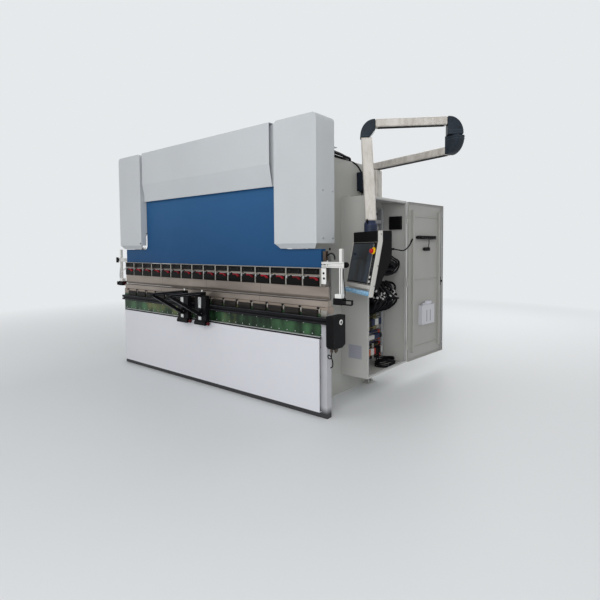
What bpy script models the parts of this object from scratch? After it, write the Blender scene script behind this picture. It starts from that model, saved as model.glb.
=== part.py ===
"""Hydraulic press brake, 3.2 m bending length, with an open control cabinet and a pendant console.

Units are metres, +Z up. The machine's own frame has X = 0 at the middle of the bending
length, Y = 0 at the front of the upper clamps (the operator stands at -Y) and Z = 0 on
the floor. Everything hangs on one empty, which puts that frame under the middle of the
whole object's floor plan.
"""
import bpy
import bmesh
from math import cos, pi, radians, sin
from mathutils import Vector

# Gap left between pieces that touch, and the clearance of pieces that move
SEAT = 0.0003
RUNNING = 0.008

# Bending length and tooling
WORK_LENGTH = 3.2
CLAMP_PITCH = 0.2
CLAMP_GAP = 0.014
CLAMP_HEIGHT = 0.168
CLAMP_BAR_BACK = 0.072
CLAMP_BLOCK_DEPTH = 0.032
CLAMP_BAR_OVERHANG = 0.036
CLAMP_FUSE = 0.002
CLAMP_JAW_SHARE = 0.54
CLAMP_PAD_SHARE = 0.64
CLAMP_JAW_LEDGE = 0.004
CLAMP_JAW_CHAMFER = 0.012
CLAMP_JAW_UNDERCUT = 0.008
CLAMP_PAD_FRONT = 0.006
CLAMP_PAD_CLEAR = 0.010
LEVER_NEAR = 0.060
LEVER_FAR = 0.028
LEVER_ELBOW = 0.012
LEVER_REACH = 0.024
LEVER_THICKNESS = 0.008
LEVER_FALL = 0.014
PUNCH_TIP_Z = 1.056
PUNCH_THICKNESS = 0.028
PUNCH_TAPER = 0.030
PUNCH_TIP_HALF = 0.002
PUNCH_TIP_LAND = 0.001
DIE_TOP_Z = 1.051
DIE_HEIGHT = 0.060
DIE_WIDTH = 0.060
DIE_VEE = 0.020
TOOL_LINE_Y = 0.042

# Ram
RAM_FRONT_Y = 0.006
RAM_THICKNESS = 0.070
RAM_BOTTOM_Z = 1.340
RAM_SHOULDER_Z = 1.505
RAM_TOP_Z = 2.350
RAM_END_CLEARANCE = 0.005
RAM_FILLET = 0.050
STROKE = 0.150

# Side frames
BETWEEN_FRAMES = 2.600
FRAME_PLATE = 0.045
FRAME_TOP_Z = 2.420
FRAME_REAR_Y = 1.300
FRAME_JAW_Y = 0.170
THROAT_REAR_Y = 0.520
THROAT_TOP_Z = 1.470
THROAT_FILLET = 0.090
FRAME_CORNER = 0.100

# Lower beam, its cover and the front rail
BEAM_OVERHANG = 0.060
BEAM_THICKNESS = 0.065
BEAM_TOP_Z = 0.930
APRON_STANDOFF = 0.033
APRON_BOTTOM_Z = 0.055
APRON_TOP_Z = 0.712
SHEET = 0.003
RAIL_TOP_Z = 0.908
RAIL_HEIGHT = 0.060
RAIL_DEPTH = 0.050
RAIL_SLOT_LOW_SHARE = 0.64
RAIL_SLOT_HIGH_SHARE = 0.44
RAIL_SLOT_DEPTH_SHARE = 0.3
RAIL_LEFT_INSET = 0.020
RAIL_RIGHT_OVERHANG = 0.055
DRIVE_BOX_WIDTH = 0.075
DRIVE_BOX_DEPTH = 0.195
DRIVE_BOX_TOP_Z = 0.932
DRIVE_BOX_BOTTOM_Z = 0.648
DRIVE_BOX_FORWARD = 0.040
DRIVE_BOX_TAPER = 0.25
DRIVE_BOX_ROUNDING = 0.006
HOLDER_FRONT_Y = 0.004
HOLDER_OVERHANG = 0.005
HOLDER_BACK_LEDGE = 0.035

# Upper covers
HOOD_INWARD = 0.185
HOOD_OUTWARD = 0.260
HOOD_FRONT_Y = -0.073
HOOD_BACK_Y = 0.200
HOOD_BOTTOM_Z = 1.555
HOOD_TOP_Z = 2.680
HOOD_CORNER = 0.040
HOOD_SKIRT_DROP = 0.045
HOOD_SKIRT_RUN = 0.038
HOOD_SHELF_BITE = 0.080
HOOD_GAP = 0.055
RAM_NECK_GAP = 0.008
FASCIA_BREAK_Z = 2.300
FASCIA_BOTTOM_Z = 2.095
FASCIA_TUCK = 0.040
FASCIA_RETURN = 0.060
FASCIA_RIB_INSET = 0.260
FASCIA_RIB_FOOT = 0.100
FASCIA_STRIP_OVERLAP = 0.070

# Hydraulics
CYLINDER_RADIUS = 0.100
CYLINDER_BOTTOM_Z = 1.700
CYLINDER_TOP_Z = 2.400
CYLINDER_FLANGE_HEIGHT = 0.060
CYLINDER_FLANGE_STEP = 0.010
CYLINDER_BARREL_SHARE = 0.9
CYLINDER_LUG_INSET = 0.020
BORE_ABOVE_ROD = 0.050
ROD_RADIUS = 0.050
ROD_CLEARANCE = 0.0005
ROD_TOP_Z = 1.900
ROD_FLANGE_SHARE = 1.25
ROD_FLANGE_HEIGHT = 0.030
ROD_NECK_SHARE = 0.6
ROD_NECK_HEIGHT = 0.010
TANK_FRONT_Y = 0.250
TANK_BACK_Y = 0.700
TANK_BOTTOM_Z = 2.000
TANK_TOP_Z = 2.380
MOTOR_RADIUS = 0.110
MOTOR_LENGTH = 0.380
MOTOR_X = 0.250
MOTOR_LIFT = 0.020
MOTOR_BEHIND_MIDDLE = 0.050
MOTOR_NOSE_SHARE = 0.6
MOTOR_NOSE_LENGTH = 0.050
MOTOR_FAN_SHARE = 0.8
MOTOR_FAN_LENGTH = 0.030
MOTOR_FOOT_LENGTH = 0.240
MOTOR_FOOT_WIDTH = 0.160
MOTOR_FOOT_BITE = 0.4
VALVE_X = (-0.450, -0.150)
VALVE_DEPTH = 0.140
VALVE_HEIGHT = 0.160
TANK_ROUNDING = 0.012
VALVE_ROUNDING = 0.006

# Back gauge
REAR_TIE_FRONT_Y = 1.000
REAR_TIE_DEPTH = 0.120
REAR_TIE_BOTTOM_Z = 0.420
GAUGE_RAIL_INSET = 0.450
GAUGE_RAIL_WIDTH = 0.120
GAUGE_RAIL_BOTTOM_Z = 0.720
GAUGE_RAIL_HEIGHT = 0.120
GAUGE_BEAM_INSET = 0.150
GAUGE_BEAM_FRONT_Y = 0.620
GAUGE_BEAM_DEPTH = 0.120
GAUGE_BEAM_HEIGHT = 0.120
FINGER_X = 0.450
FINGER_WIDTH = 0.090
FINGER_REACH = 0.300
FINGER_HEIGHT = 0.055
FINGER_SLOPE = 0.060
FINGER_NOSE_SHARE = 0.6
GAUGE_ROUNDING = 0.008

# Sheet support arms on the front rail
ARM_X = (-0.255, 0.055)
CARRIAGE_WIDTH = 0.180
CARRIAGE_DEPTH = 0.045
CARRIAGE_TOP_Z = 1.010
CARRIAGE_BOTTOM_Z = 0.690
SUPPORT_REACH = 0.400
SUPPORT_WIDTH = 0.080
SUPPORT_HEIGHT = 0.036
SUPPORT_TOP_Z = 1.045
BRACE_THICKNESS = 0.012
BRACE_WIDTH = 0.040
BRACE_FOOT_RISE = 0.090
BRACE_FOOT_DEPTH = 0.012
BRACE_FOOT_HEIGHT = 0.030
BRACE_TIP_RISE = 0.004
BRACE_TIP_INSET = 0.010
BRACE_TIP_LENGTH = 0.050
ARM_TIP_TAPER = 0.012
TOE_REACH = 0.020
TOE_HEIGHT = 0.050

# Light guards on the ram ends
GUARD_BAR_END = 0.042
GUARD_BAR_SIZE = 0.050
GUARD_BAR_Y = 0.011
GUARD_BAR_RISE = 0.002
GUARD_SLOT_SHARE = 0.2
GUARD_POST_STANDOFF = 0.129
GUARD_POST_SIZE = 0.028
GUARD_POST_TOP_Z = 1.502
GUARD_POST_BOTTOM_Z = 1.080
POST_BITE = 0.002
GUARD_FOOT_INWARD = 0.052
GUARD_FOOT_DEPTH = 0.050
GUARD_FOOT_HEIGHT = 0.036
EMITTER_INWARD = 0.067
EMITTER_LENGTH = 0.095
EMITTER_HEIGHT = 0.058
EMITTER_DEPTH = 0.070
EMITTER_ROUNDING = 0.006
EMITTER_GRIP_REACH = 0.0855
EMITTER_GRIP_BAR = 0.010

# Control cabinet on the right side frame
CABINET_DEPTH = 0.312
CABINET_FRONT_Y = 0.700
CABINET_WIDTH = 0.850
CABINET_BOTTOM_Z = 0.193
CABINET_HEIGHT = 1.837
CABINET_SHEET = 0.003
CABINET_LIP = 0.028
PLATE_STANDOFF = 0.025
PLATE_MARGIN = 0.060
PLATE_SHEET = 0.003
GEAR_DEPTH = 0.085
GEAR_FRONT_INSET = 0.060
GEAR_REAR_INSET = 0.110
# Each row of gear: name, then the low edge and the height as shares of the mounting plate
GEAR_ROWS = (("contactor_row", 0.01, 0.10), ("drive_unit", 0.12, 0.07), ("relay_row", 0.20, 0.10),
             ("supply_unit", 0.36, 0.13), ("terminal_row", 0.55, 0.04), ("controller_unit", 0.70, 0.17))
STUD_SIZE = 0.016
STUD_INSET = 2.5
FAN_SIZE = 0.150
FAN_DEPTH = 0.040
FAN_INSET = 0.8
FAN_DROP = 1.6
FAN_ROUNDING = 0.006
GEAR_ROUNDING = 0.004
DOOR_THICKNESS = 0.022
DOOR_GAP = 0.006
KNUCKLE_RADIUS = 0.007
KNUCKLE_LENGTH = 0.050
KNUCKLE_CLEAR = 0.001
HINGE_INSET = 0.200
DOOR_OPEN = radians(175.0)
POCKET_WIDTH = 0.300
POCKET_HEIGHT = 0.230
POCKET_DEPTH = 0.040
POCKET_RISE = 0.400
POCKET_SHEET = 0.003
POCKET_TUCK = 0.012
RIB_WIDTH = 0.036
RIB_PROUD = 0.006
RIB_FREE_SIDE = 0.100
RIB_HINGE_SIDE = 0.120
RIB_MARGIN = 0.090

# Junction box on the right side frame
JUNCTION_FRONT_Y = 1.000
JUNCTION_WIDTH = 0.190
JUNCTION_HEIGHT = 0.200
JUNCTION_DEPTH = 0.080
JUNCTION_RISE = 0.090
JUNCTION_ROUNDING = 0.006

# Pendant arm and console
POST_STANDOFF = 0.155
POST_Y = 1.120
POST_SIZE = 0.120
POST_HEIGHT = 0.310
LOWER_ARM_LENGTH = 1.026
LOWER_ARM_TURN = radians(-17.3)
UPPER_ARM_LENGTH = 0.779
UPPER_ARM_TURN = radians(212.5)
BEAM_SECTION_WIDTH = 0.090
BEAM_SECTION_HEIGHT = 0.070
ARM_ROUNDING = 0.010
POST_ROUNDING = 0.015
ELBOW_OFFSET = 0.076
ELBOW_RADIUS = 0.1582
ELBOW_WIDTH = 0.104
ELBOW_COLLAR = 0.014
ELBOW_THROAT = 0.012
ELBOW_INNER_RISE = 0.030
ELBOW_SPLIT = 0.0006
TUBE_WIDTH = 0.098
TUBE_BOTTOM_Z = 1.756
TUBE_LEAN = 0.045
COUPLING_WIDTH = 0.120
COUPLING_HEIGHT = 0.098
COUPLING_NECK_HEIGHT = 0.030
COUPLING_NECK_SHARE = 0.75
CONSOLE_TURN = radians(-34.0)
CONSOLE_WIDTH = 0.514
CONSOLE_DEPTH = 0.133
CONSOLE_FRONT = 0.0565
CONSOLE_HEIGHT = 0.502
CONSOLE_BROW = 0.092
CONSOLE_BACK_DROP = 0.240
CONSOLE_FOOT_THINNING = 0.050
CONSOLE_LEAN = radians(11.2)
CONSOLE_ROUNDING = 0.006
SIDE_BAR_DEPTH = 0.038
SIDE_BAR_THICKNESS = 0.014
SIDE_BAR_PROUD = 0.004
SIDE_BAR_ROUNDING = 0.003
HANDLE_DROP = 0.064
HANDLE_RADIUS = 0.022
HANDLE_RISE = 0.004
HANDLE_FORWARD = 0.002
STOP_DROP = 0.080
STOP_INSET = 0.050
STOP_RADIUS = 0.020
STOP_STEM_RADIUS = 0.012
STOP_REACH = 0.030
STOP_HEAD_BACK = 0.012
STOP_STEM_GAP = 0.002

# Derived places
RAM_BACK_Y = RAM_FRONT_Y + RAM_THICKNESS
RAM_HALF = WORK_LENGTH / 2 - RAM_END_CLEARANCE
APRON_HALF = WORK_LENGTH / 2
BEAM_HALF = WORK_LENGTH / 2 + BEAM_OVERHANG
RAIL_LEFT_X = RAIL_LEFT_INSET - BEAM_HALF
RAIL_RIGHT_X = BEAM_HALF + RAIL_RIGHT_OVERHANG
GUARD_POST_X = BEAM_HALF + GUARD_POST_STANDOFF
EMITTER_START = GUARD_POST_X - EMITTER_INWARD
EMITTER_END = EMITTER_START + EMITTER_LENGTH
FRAME_INNER_X = BETWEEN_FRAMES / 2
FRAME_OUTER_X = FRAME_INNER_X + FRAME_PLATE
CYLINDER_X = FRAME_INNER_X + FRAME_PLATE / 2
HOOD_INNER_X = FRAME_INNER_X - HOOD_INWARD
HOOD_OUTER_X = FRAME_OUTER_X + HOOD_OUTWARD
FASCIA_HALF = HOOD_INNER_X - HOOD_GAP
FASCIA_RIB_X = FASCIA_HALF - FASCIA_RIB_INSET
RAM_NECK_HALF = HOOD_INNER_X - RAM_NECK_GAP
GAUGE_RAIL_X = FRAME_INNER_X - GAUGE_RAIL_INSET
GAUGE_BEAM_HALF = FRAME_INNER_X - GAUGE_BEAM_INSET
CLAMP_BOTTOM_Z = RAM_BOTTOM_Z - CLAMP_HEIGHT
CABINET_INNER_X = FRAME_OUTER_X + SEAT
CABINET_OUTER_X = CABINET_INNER_X + CABINET_DEPTH
CABINET_BACK_Y = CABINET_FRONT_Y + CABINET_WIDTH
CABINET_TOP_Z = CABINET_BOTTOM_Z + CABINET_HEIGHT
HINGE_X = CABINET_OUTER_X + DOOR_THICKNESS / 2 + DOOR_GAP
DOOR_EDGE = KNUCKLE_RADIUS + KNUCKLE_CLEAR
RAIL_SLOT_LOW_Z = RAIL_TOP_Z - RAIL_SLOT_LOW_SHARE * RAIL_HEIGHT
RAIL_SLOT_HIGH_Z = RAIL_TOP_Z - RAIL_SLOT_HIGH_SHARE * RAIL_HEIGHT
RAIL_SLOT_DEPTH = RAIL_SLOT_DEPTH_SHARE * RAIL_DEPTH
HINGE_Y = CABINET_BACK_Y
POST_X = FRAME_OUTER_X + POST_STANDOFF
LOWER_ARM_BOTTOM_Z = CABINET_TOP_Z + POST_HEIGHT
UPPER_ARM_BOTTOM_Z = LOWER_ARM_BOTTOM_Z + 2 * ELBOW_RADIUS + ELBOW_SPLIT - BEAM_SECTION_HEIGHT
ELBOW_X = POST_X + LOWER_ARM_LENGTH * cos(LOWER_ARM_TURN)
ELBOW_Y = POST_Y + LOWER_ARM_LENGTH * sin(LOWER_ARM_TURN)
TUBE_X = ELBOW_X + UPPER_ARM_LENGTH * cos(UPPER_ARM_TURN)
TUBE_Y = ELBOW_Y + UPPER_ARM_LENGTH * sin(UPPER_ARM_TURN)
TUBE_FOOT_X = TUBE_X + TUBE_LEAN

# Reach of the whole object, whose middle is the part's origin
LEFT_END = -EMITTER_END - EMITTER_GRIP_REACH
ELBOW_REACH = ELBOW_RADIUS - ELBOW_OFFSET
RIGHT_END = ELBOW_X - ELBOW_REACH * cos(UPPER_ARM_TURN) - ELBOW_WIDTH / 2 * sin(UPPER_ARM_TURN)
FRONT_END = -RAIL_DEPTH - RUNNING - CARRIAGE_DEPTH - SUPPORT_REACH
REAR_END = HINGE_Y - (CABINET_WIDTH - DOOR_GAP) * cos(DOOR_OPEN)
MACHINE_X = -(LEFT_END + RIGHT_END) / 2
MACHINE_Y = -(FRONT_END + REAR_END) / 2


def paint(name, colour, roughness=0.5, metallic=0.0):
    """Principled material with one colour."""
    material = bpy.data.materials.new(name)
    material.use_nodes = True
    shader = material.node_tree.nodes["Principled BSDF"]
    shader.inputs["Base Color"].default_value = (*colour, 1.0)
    shader.inputs["Roughness"].default_value = roughness
    shader.inputs["Metallic"].default_value = metallic
    return material


def empty(name, place, parent=None, turn=0.0):
    """Joint or assembly frame."""
    frame = bpy.data.objects.new(name, None)
    frame.location = place
    frame.rotation_euler = (0, 0, turn)
    frame.parent = parent
    bpy.context.collection.objects.link(frame)
    return frame


def prism(outline, axis, low, high):
    """Closed prism: an outline in the plane across an axis, from low to high along it.

    The outline's two numbers are (y, z) for axis x, (x, z) for y and (x, y) for z.
    """
    def corner(pair, along):
        u, v = pair
        return {"x": (along, u, v), "y": (u, along, v), "z": (u, v, along)}[axis]

    bm = bmesh.new()
    bottom = bm.faces.new([bm.verts.new(corner(pair, low)) for pair in outline])
    grown = bmesh.ops.extrude_face_region(bm, geom=[bottom])
    shift = Vector(corner((0, 0), high - low))
    bmesh.ops.translate(bm, vec=shift, verts=[v for v in grown["geom"] if isinstance(v, bmesh.types.BMVert)])
    bmesh.ops.recalc_face_normals(bm, faces=bm.faces)
    return bm


def block(x0, x1, y0, y1, z0, z1):
    """Rectangular block."""
    return prism([(x0, y0), (x1, y0), (x1, y1), (x0, y1)], "z", z0, z1)


def turned(profile, centre, axis="z", steps=24):
    """Solid of revolution: profile of (radius, height) from bottom to top, round an axis."""
    bm = bmesh.new()
    x, y, z = centre

    def place(radius, height, angle):
        a, b = radius * cos(angle), radius * sin(angle)
        local = {"z": (a, b, height), "x": (height, a, b), "y": (b, height, a)}[axis]
        return (x + local[0], y + local[1], z + local[2])

    rings = []
    for radius, height in profile:
        ring = [bm.verts.new(place(radius, height, 2 * pi * i / steps)) for i in range(steps)]
        rings.append(ring)
    for lower, upper in zip(rings, rings[1:]):
        for i in range(steps):
            j = (i + 1) % steps
            bm.faces.new((lower[i], lower[j], upper[j], upper[i]))
    bm.faces.new(rings[0])
    bm.faces.new(rings[-1])
    bmesh.ops.recalc_face_normals(bm, faces=bm.faces)
    return bm


def together(*parts):
    """One mesh of several solids that don't overlap."""
    bm = bmesh.new()
    for part in parts:
        mesh = bpy.data.meshes.new("part")
        part.to_mesh(mesh)
        part.free()
        bm.from_mesh(mesh)
        bpy.data.meshes.remove(mesh)
    return bm


def arc(centre, radius, start, end, steps=6):
    """Points of an arc, in degrees."""
    return [(centre[0] + radius * cos(radians(start + (end - start) * i / steps)),
             centre[1] + radius * sin(radians(start + (end - start) * i / steps)))
            for i in range(steps + 1)]


def solid(name, bm, material, parent, smooth=False):
    """Named object of one closed mesh."""
    mesh = bpy.data.meshes.new(name)
    bm.to_mesh(mesh)
    bm.free()
    mesh.materials.append(material)
    if smooth:
        mesh.shade_smooth()
        mesh.set_sharp_from_angle(angle=radians(35))
    obj = bpy.data.objects.new(name, mesh)
    obj.parent = parent
    bpy.context.collection.objects.link(obj)
    return obj


def combine(obj, bm, operation):
    """Boolean of an object with a hidden guide made from bm."""
    mesh = bpy.data.meshes.new(obj.name + "_guide")
    bm.to_mesh(mesh)
    bm.free()
    guide = bpy.data.objects.new(mesh.name, mesh)
    guide.parent = obj.parent
    guide.hide_render = True
    guide.display_type = "WIRE"
    bpy.context.collection.objects.link(guide)
    boolean = obj.modifiers.new(operation.title(), "BOOLEAN")
    boolean.operation = operation
    boolean.solver = "EXACT"
    boolean.object = guide
    return obj


def cut(obj, bm):
    return combine(obj, bm, "DIFFERENCE")


def fuse(obj, bm):
    return combine(obj, bm, "UNION")


def soften(obj, width, segments=2, angle=40):
    """Rounded edges."""
    bevel = obj.modifiers.new("Bevel", "BEVEL")
    bevel.width = width
    bevel.segments = segments
    bevel.limit_method = "ANGLE"
    bevel.angle_limit = radians(angle)
    return obj


def side_frame(side, colour, machine):
    """C-shaped side plate with its throat open to the front."""
    front = BEAM_THICKNESS + SEAT
    fillet = THROAT_FILLET
    corner = FRAME_CORNER
    outline = [(front, 0), (FRAME_REAR_Y, 0), (FRAME_REAR_Y, FRAME_TOP_Z - corner)]
    outline += [(FRAME_REAR_Y - corner, FRAME_TOP_Z), (FRAME_JAW_Y, FRAME_TOP_Z)]
    outline += [(FRAME_JAW_Y, THROAT_TOP_Z + fillet)]
    outline += arc((FRAME_JAW_Y + fillet, THROAT_TOP_Z + fillet), fillet, 180, 270, 4)
    outline += arc((THROAT_REAR_Y - fillet, THROAT_TOP_Z - fillet), fillet, 90, 0, 6)
    outline += arc((THROAT_REAR_Y - fillet, BEAM_TOP_Z + fillet), fillet, 0, -90, 6)
    outline += [(front, BEAM_TOP_Z)]
    low, high = sorted((side * FRAME_INNER_X, side * FRAME_OUTER_X))
    name = "side_frame_right" if side > 0 else "side_frame_left"
    return solid(name, prism(outline, "x", low, high), colour, machine)


def lower_beam(colour, machine):
    """Upright front plate that carries the table."""
    plate = block(-BEAM_HALF, BEAM_HALF, 0, BEAM_THICKNESS, 0, BEAM_TOP_Z)
    return solid("lower_beam", plate, colour, machine)


def apron_cover(colour, machine):
    """Folded sheet over the beam, with a flange back to it at the top and the bottom."""
    back = -SEAT
    face = -APRON_STANDOFF
    outline = [(back, APRON_BOTTOM_Z), (face, APRON_BOTTOM_Z), (face, APRON_TOP_Z), (back, APRON_TOP_Z),
               (back, APRON_TOP_Z - SHEET), (face + SHEET, APRON_TOP_Z - SHEET),
               (face + SHEET, APRON_BOTTOM_Z + SHEET), (back, APRON_BOTTOM_Z + SHEET)]
    return solid("apron_cover", prism(outline, "x", -APRON_HALF, APRON_HALF), colour, machine)


def front_rail(colour, machine):
    """Slotted rail along the table, on which the sheet supports slide."""
    front = -RAIL_DEPTH
    bottom = RAIL_TOP_Z - RAIL_HEIGHT
    slot_back = front + RAIL_SLOT_DEPTH
    outline = [(-SEAT, bottom), (front, bottom), (front, RAIL_SLOT_LOW_Z), (slot_back, RAIL_SLOT_LOW_Z),
               (slot_back, RAIL_SLOT_HIGH_Z), (front, RAIL_SLOT_HIGH_Z), (front, RAIL_TOP_Z),
               (-SEAT, RAIL_TOP_Z)]
    return solid("front_rail", prism(outline, "x", RAIL_LEFT_X, RAIL_RIGHT_X), colour, machine)


def drive_box(colour, machine):
    """Housing of the crowning drive at the table's right end."""
    low = RAIL_RIGHT_X + SEAT
    middle = TOOL_LINE_Y - DRIVE_BOX_FORWARD
    front = middle - DRIVE_BOX_DEPTH / 2
    back = middle + DRIVE_BOX_DEPTH / 2
    taper = DRIVE_BOX_TAPER * DRIVE_BOX_DEPTH
    outline = [(front, DRIVE_BOX_TOP_Z), (back, DRIVE_BOX_TOP_Z), (back, DRIVE_BOX_BOTTOM_Z + taper / 2),
               (back - taper, DRIVE_BOX_BOTTOM_Z), (front + taper / 2, DRIVE_BOX_BOTTOM_Z),
               (front, DRIVE_BOX_BOTTOM_Z + taper / 2)]
    box = solid("crowning_drive_box", prism(outline, "x", low, low + DRIVE_BOX_WIDTH), colour, machine)
    return soften(box, DRIVE_BOX_ROUNDING)


def table(steel, machine):
    """Die holder on the beam and the V die on it."""
    top = DIE_TOP_Z - DIE_HEIGHT
    half = BEAM_HALF + HOLDER_OVERHANG
    holder = block(-half, half, HOLDER_FRONT_Y, BEAM_THICKNESS + HOLDER_BACK_LEDGE, BEAM_TOP_Z + SEAT, top)
    solid("die_holder", holder, steel, machine)
    front = TOOL_LINE_Y - DIE_WIDTH / 2
    back = TOOL_LINE_Y + DIE_WIDTH / 2
    vee = DIE_VEE / 2
    outline = [(front, top + SEAT), (back, top + SEAT), (back, DIE_TOP_Z), (TOOL_LINE_Y + vee, DIE_TOP_Z),
               (TOOL_LINE_Y, DIE_TOP_Z - vee), (TOOL_LINE_Y - vee, DIE_TOP_Z), (front, DIE_TOP_Z)]
    solid("bottom_die", prism(outline, "x", -BEAM_HALF, BEAM_HALF), steel, machine)


def hood(side, colour, machine):
    """Sheet hood over one cylinder: open below and behind, hung on the side frame's top edge."""
    inner, outer = HOOD_INNER_X, HOOD_OUTER_X
    r = HOOD_CORNER
    top = HOOD_TOP_Z

    def arch(inset, floor):
        low, high = inner + inset, outer - inset
        radius = r - inset
        points = [(low, floor), (high, floor)]
        points += arc((high - radius, top - inset - radius), radius, 0, 90, 4)
        points += arc((low + radius, top - inset - radius), radius, 90, 180, 4)
        return [(side * x, z) for x, z in points]

    name = "cylinder_hood_right" if side > 0 else "cylinder_hood_left"
    shell = solid(name, prism(arch(0, HOOD_BOTTOM_Z), "y", HOOD_FRONT_Y, HOOD_BACK_Y), colour, machine)
    below = HOOD_BOTTOM_Z - HOOD_SKIRT_DROP
    cut(shell, prism(arch(SHEET, below), "y", HOOD_FRONT_Y + SHEET, HOOD_BACK_Y + SHEET))
    passage_low, passage_high = sorted((side * (inner - SHEET), side * (inner + 2 * SHEET)))
    passage_top = RAM_SHOULDER_Z + RAM_FILLET + STROKE + RUNNING
    cut(shell, block(passage_low, passage_high, RAM_FRONT_Y - RUNNING, HOOD_BACK_Y + SHEET,
                     below, passage_top))
    shelf_top = FRAME_TOP_Z + SEAT + 2 * SHEET
    low, high = sorted((side * (inner + SHEET / 2), side * (outer - SHEET / 2)))
    fuse(shell, block(low, high, HOOD_FRONT_Y + SHEET / 2, FRAME_JAW_Y + HOOD_SHELF_BITE,
                      FRAME_TOP_Z + SEAT, shelf_top))
    front = HOOD_FRONT_Y
    run, drop = HOOD_SKIRT_RUN, HOOD_SKIRT_DROP
    skirt = bmesh.new()
    corners = []
    for depth in (0, SHEET):
        upper = [(inner, front + depth, HOOD_BOTTOM_Z + SHEET), (outer, front + depth, HOOD_BOTTOM_Z + SHEET)]
        lower = [(outer - drop, front + run + depth, HOOD_BOTTOM_Z - drop),
                 (inner + drop, front + run + depth, HOOD_BOTTOM_Z - drop)]
        corners.append([skirt.verts.new((side * x, y, z)) for x, y, z in upper + lower])
    near, far = corners
    skirt.faces.new(near)
    skirt.faces.new(far)
    for i in range(4):
        j = (i + 1) % 4
        skirt.faces.new((near[i], near[j], far[j], far[i]))
    bmesh.ops.recalc_face_normals(skirt, faces=skirt.faces)
    fuse(shell, skirt)
    return shell


def fascia(colour, machine):
    """Folded cover between the hoods, on three ribs that stand on the oil tank."""
    face = HOOD_FRONT_Y - SHEET
    top = HOOD_TOP_Z
    tuck = FASCIA_TUCK
    outline = [(face, top), (face + FASCIA_RETURN, top), (face + FASCIA_RETURN, top - SHEET),
               (face + SHEET, top - SHEET), (face + SHEET, FASCIA_BREAK_Z),
               (face + tuck + SHEET, FASCIA_BOTTOM_Z), (face + tuck, FASCIA_BOTTOM_Z), (face, FASCIA_BREAK_Z)]
    cover = solid("top_fascia", prism(outline, "x", -FASCIA_HALF, FASCIA_HALF), colour, machine)
    clear = RAM_TOP_Z + STROKE + 2 * RUNNING
    foot = TANK_FRONT_Y + FASCIA_RIB_FOOT
    rib = [(face + SHEET / 2, clear), (TANK_FRONT_Y, clear), (TANK_FRONT_Y, TANK_TOP_Z + SEAT),
           (foot, TANK_TOP_Z + SEAT), (foot, clear), (face + FASCIA_RETURN / 2, top - SHEET / 2),
           (face + SHEET / 2, top - SHEET / 2)]
    ribs = [prism(rib, "x", x - SHEET, x + SHEET) for x in (-FASCIA_RIB_X, 0, FASCIA_RIB_X)]
    fuse(cover, together(*ribs))
    strips = []
    for side in (-1, 1):
        low, high = sorted((side * (FASCIA_HALF - FASCIA_STRIP_OVERLAP), side * (HOOD_INNER_X - SEAT)))
        strip_back = face + FASCIA_RETURN
        strips.append(block(low, high, strip_back - SHEET, strip_back, FASCIA_BOTTOM_Z, top - SHEET / 2))
    return fuse(cover, together(*strips))


def cylinder(side, steel, machine):
    """Hydraulic cylinder with a mounting lug to the side frame's front edge and a bore for the rod."""
    name = "cylinder_right" if side > 0 else "cylinder_left"
    x = side * CYLINDER_X
    y = RAM_FRONT_Y + RAM_THICKNESS / 2
    r = CYLINDER_RADIUS
    low, high = CYLINDER_BOTTOM_Z, CYLINDER_TOP_Z
    flange = CYLINDER_FLANGE_HEIGHT
    waist = flange + CYLINDER_FLANGE_STEP
    barrel = CYLINDER_BARREL_SHARE * r
    profile = [(r, low), (r, low + flange), (barrel, low + waist), (barrel, high - waist),
               (r, high - flange), (r, high)]
    body = solid(name, turned(profile, (x, y, 0)), steel, machine)
    lug = FRAME_PLATE / 2
    fuse(body, block(x - lug, x + lug, y + r / 2, FRAME_JAW_Y - SEAT,
                     low + CYLINDER_LUG_INSET, high - CYLINDER_LUG_INSET))
    bore = ROD_RADIUS + ROD_CLEARANCE
    bore_top = ROD_TOP_Z + STROKE + BORE_ABOVE_ROD
    cut(body, turned([(bore, low - CYLINDER_FLANGE_STEP), (bore, bore_top)], (x, y, 0)))
    return body


def upper_frame(colour, dark, machine):
    """Oil tank that ties the frames together at the top, with the pump motor on it."""
    half = FRAME_INNER_X - SEAT
    tank = block(-half, half, TANK_FRONT_Y, TANK_BACK_Y, TANK_BOTTOM_Z, TANK_TOP_Z)
    soften(solid("oil_tank", tank, colour, machine), TANK_ROUNDING)
    middle = (TANK_FRONT_Y + TANK_BACK_Y) / 2 + MOTOR_BEHIND_MIDDLE
    r = MOTOR_RADIUS
    z = TANK_TOP_Z + r + MOTOR_LIFT
    end = MOTOR_LENGTH / 2
    nose = MOTOR_NOSE_SHARE * r
    profile = [(nose, -end - MOTOR_NOSE_LENGTH), (nose, -end), (r, -end), (r, end),
               (MOTOR_FAN_SHARE * r, end + MOTOR_FAN_LENGTH)]
    motor = solid("pump_motor", turned(profile, (MOTOR_X, middle, z), "x"), dark, machine)
    foot = MOTOR_FOOT_LENGTH / 2
    side = MOTOR_FOOT_WIDTH / 2
    fuse(motor, block(MOTOR_X - foot, MOTOR_X + foot, middle - side, middle + side, TANK_TOP_Z + SEAT,
                      z - MOTOR_FOOT_BITE * r))
    side = VALVE_DEPTH / 2
    valve = block(*VALVE_X, middle - side, middle + side, TANK_TOP_Z + SEAT, TANK_TOP_Z + VALVE_HEIGHT)
    soften(solid("valve_block", valve, dark, machine), VALVE_ROUNDING)


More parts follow.
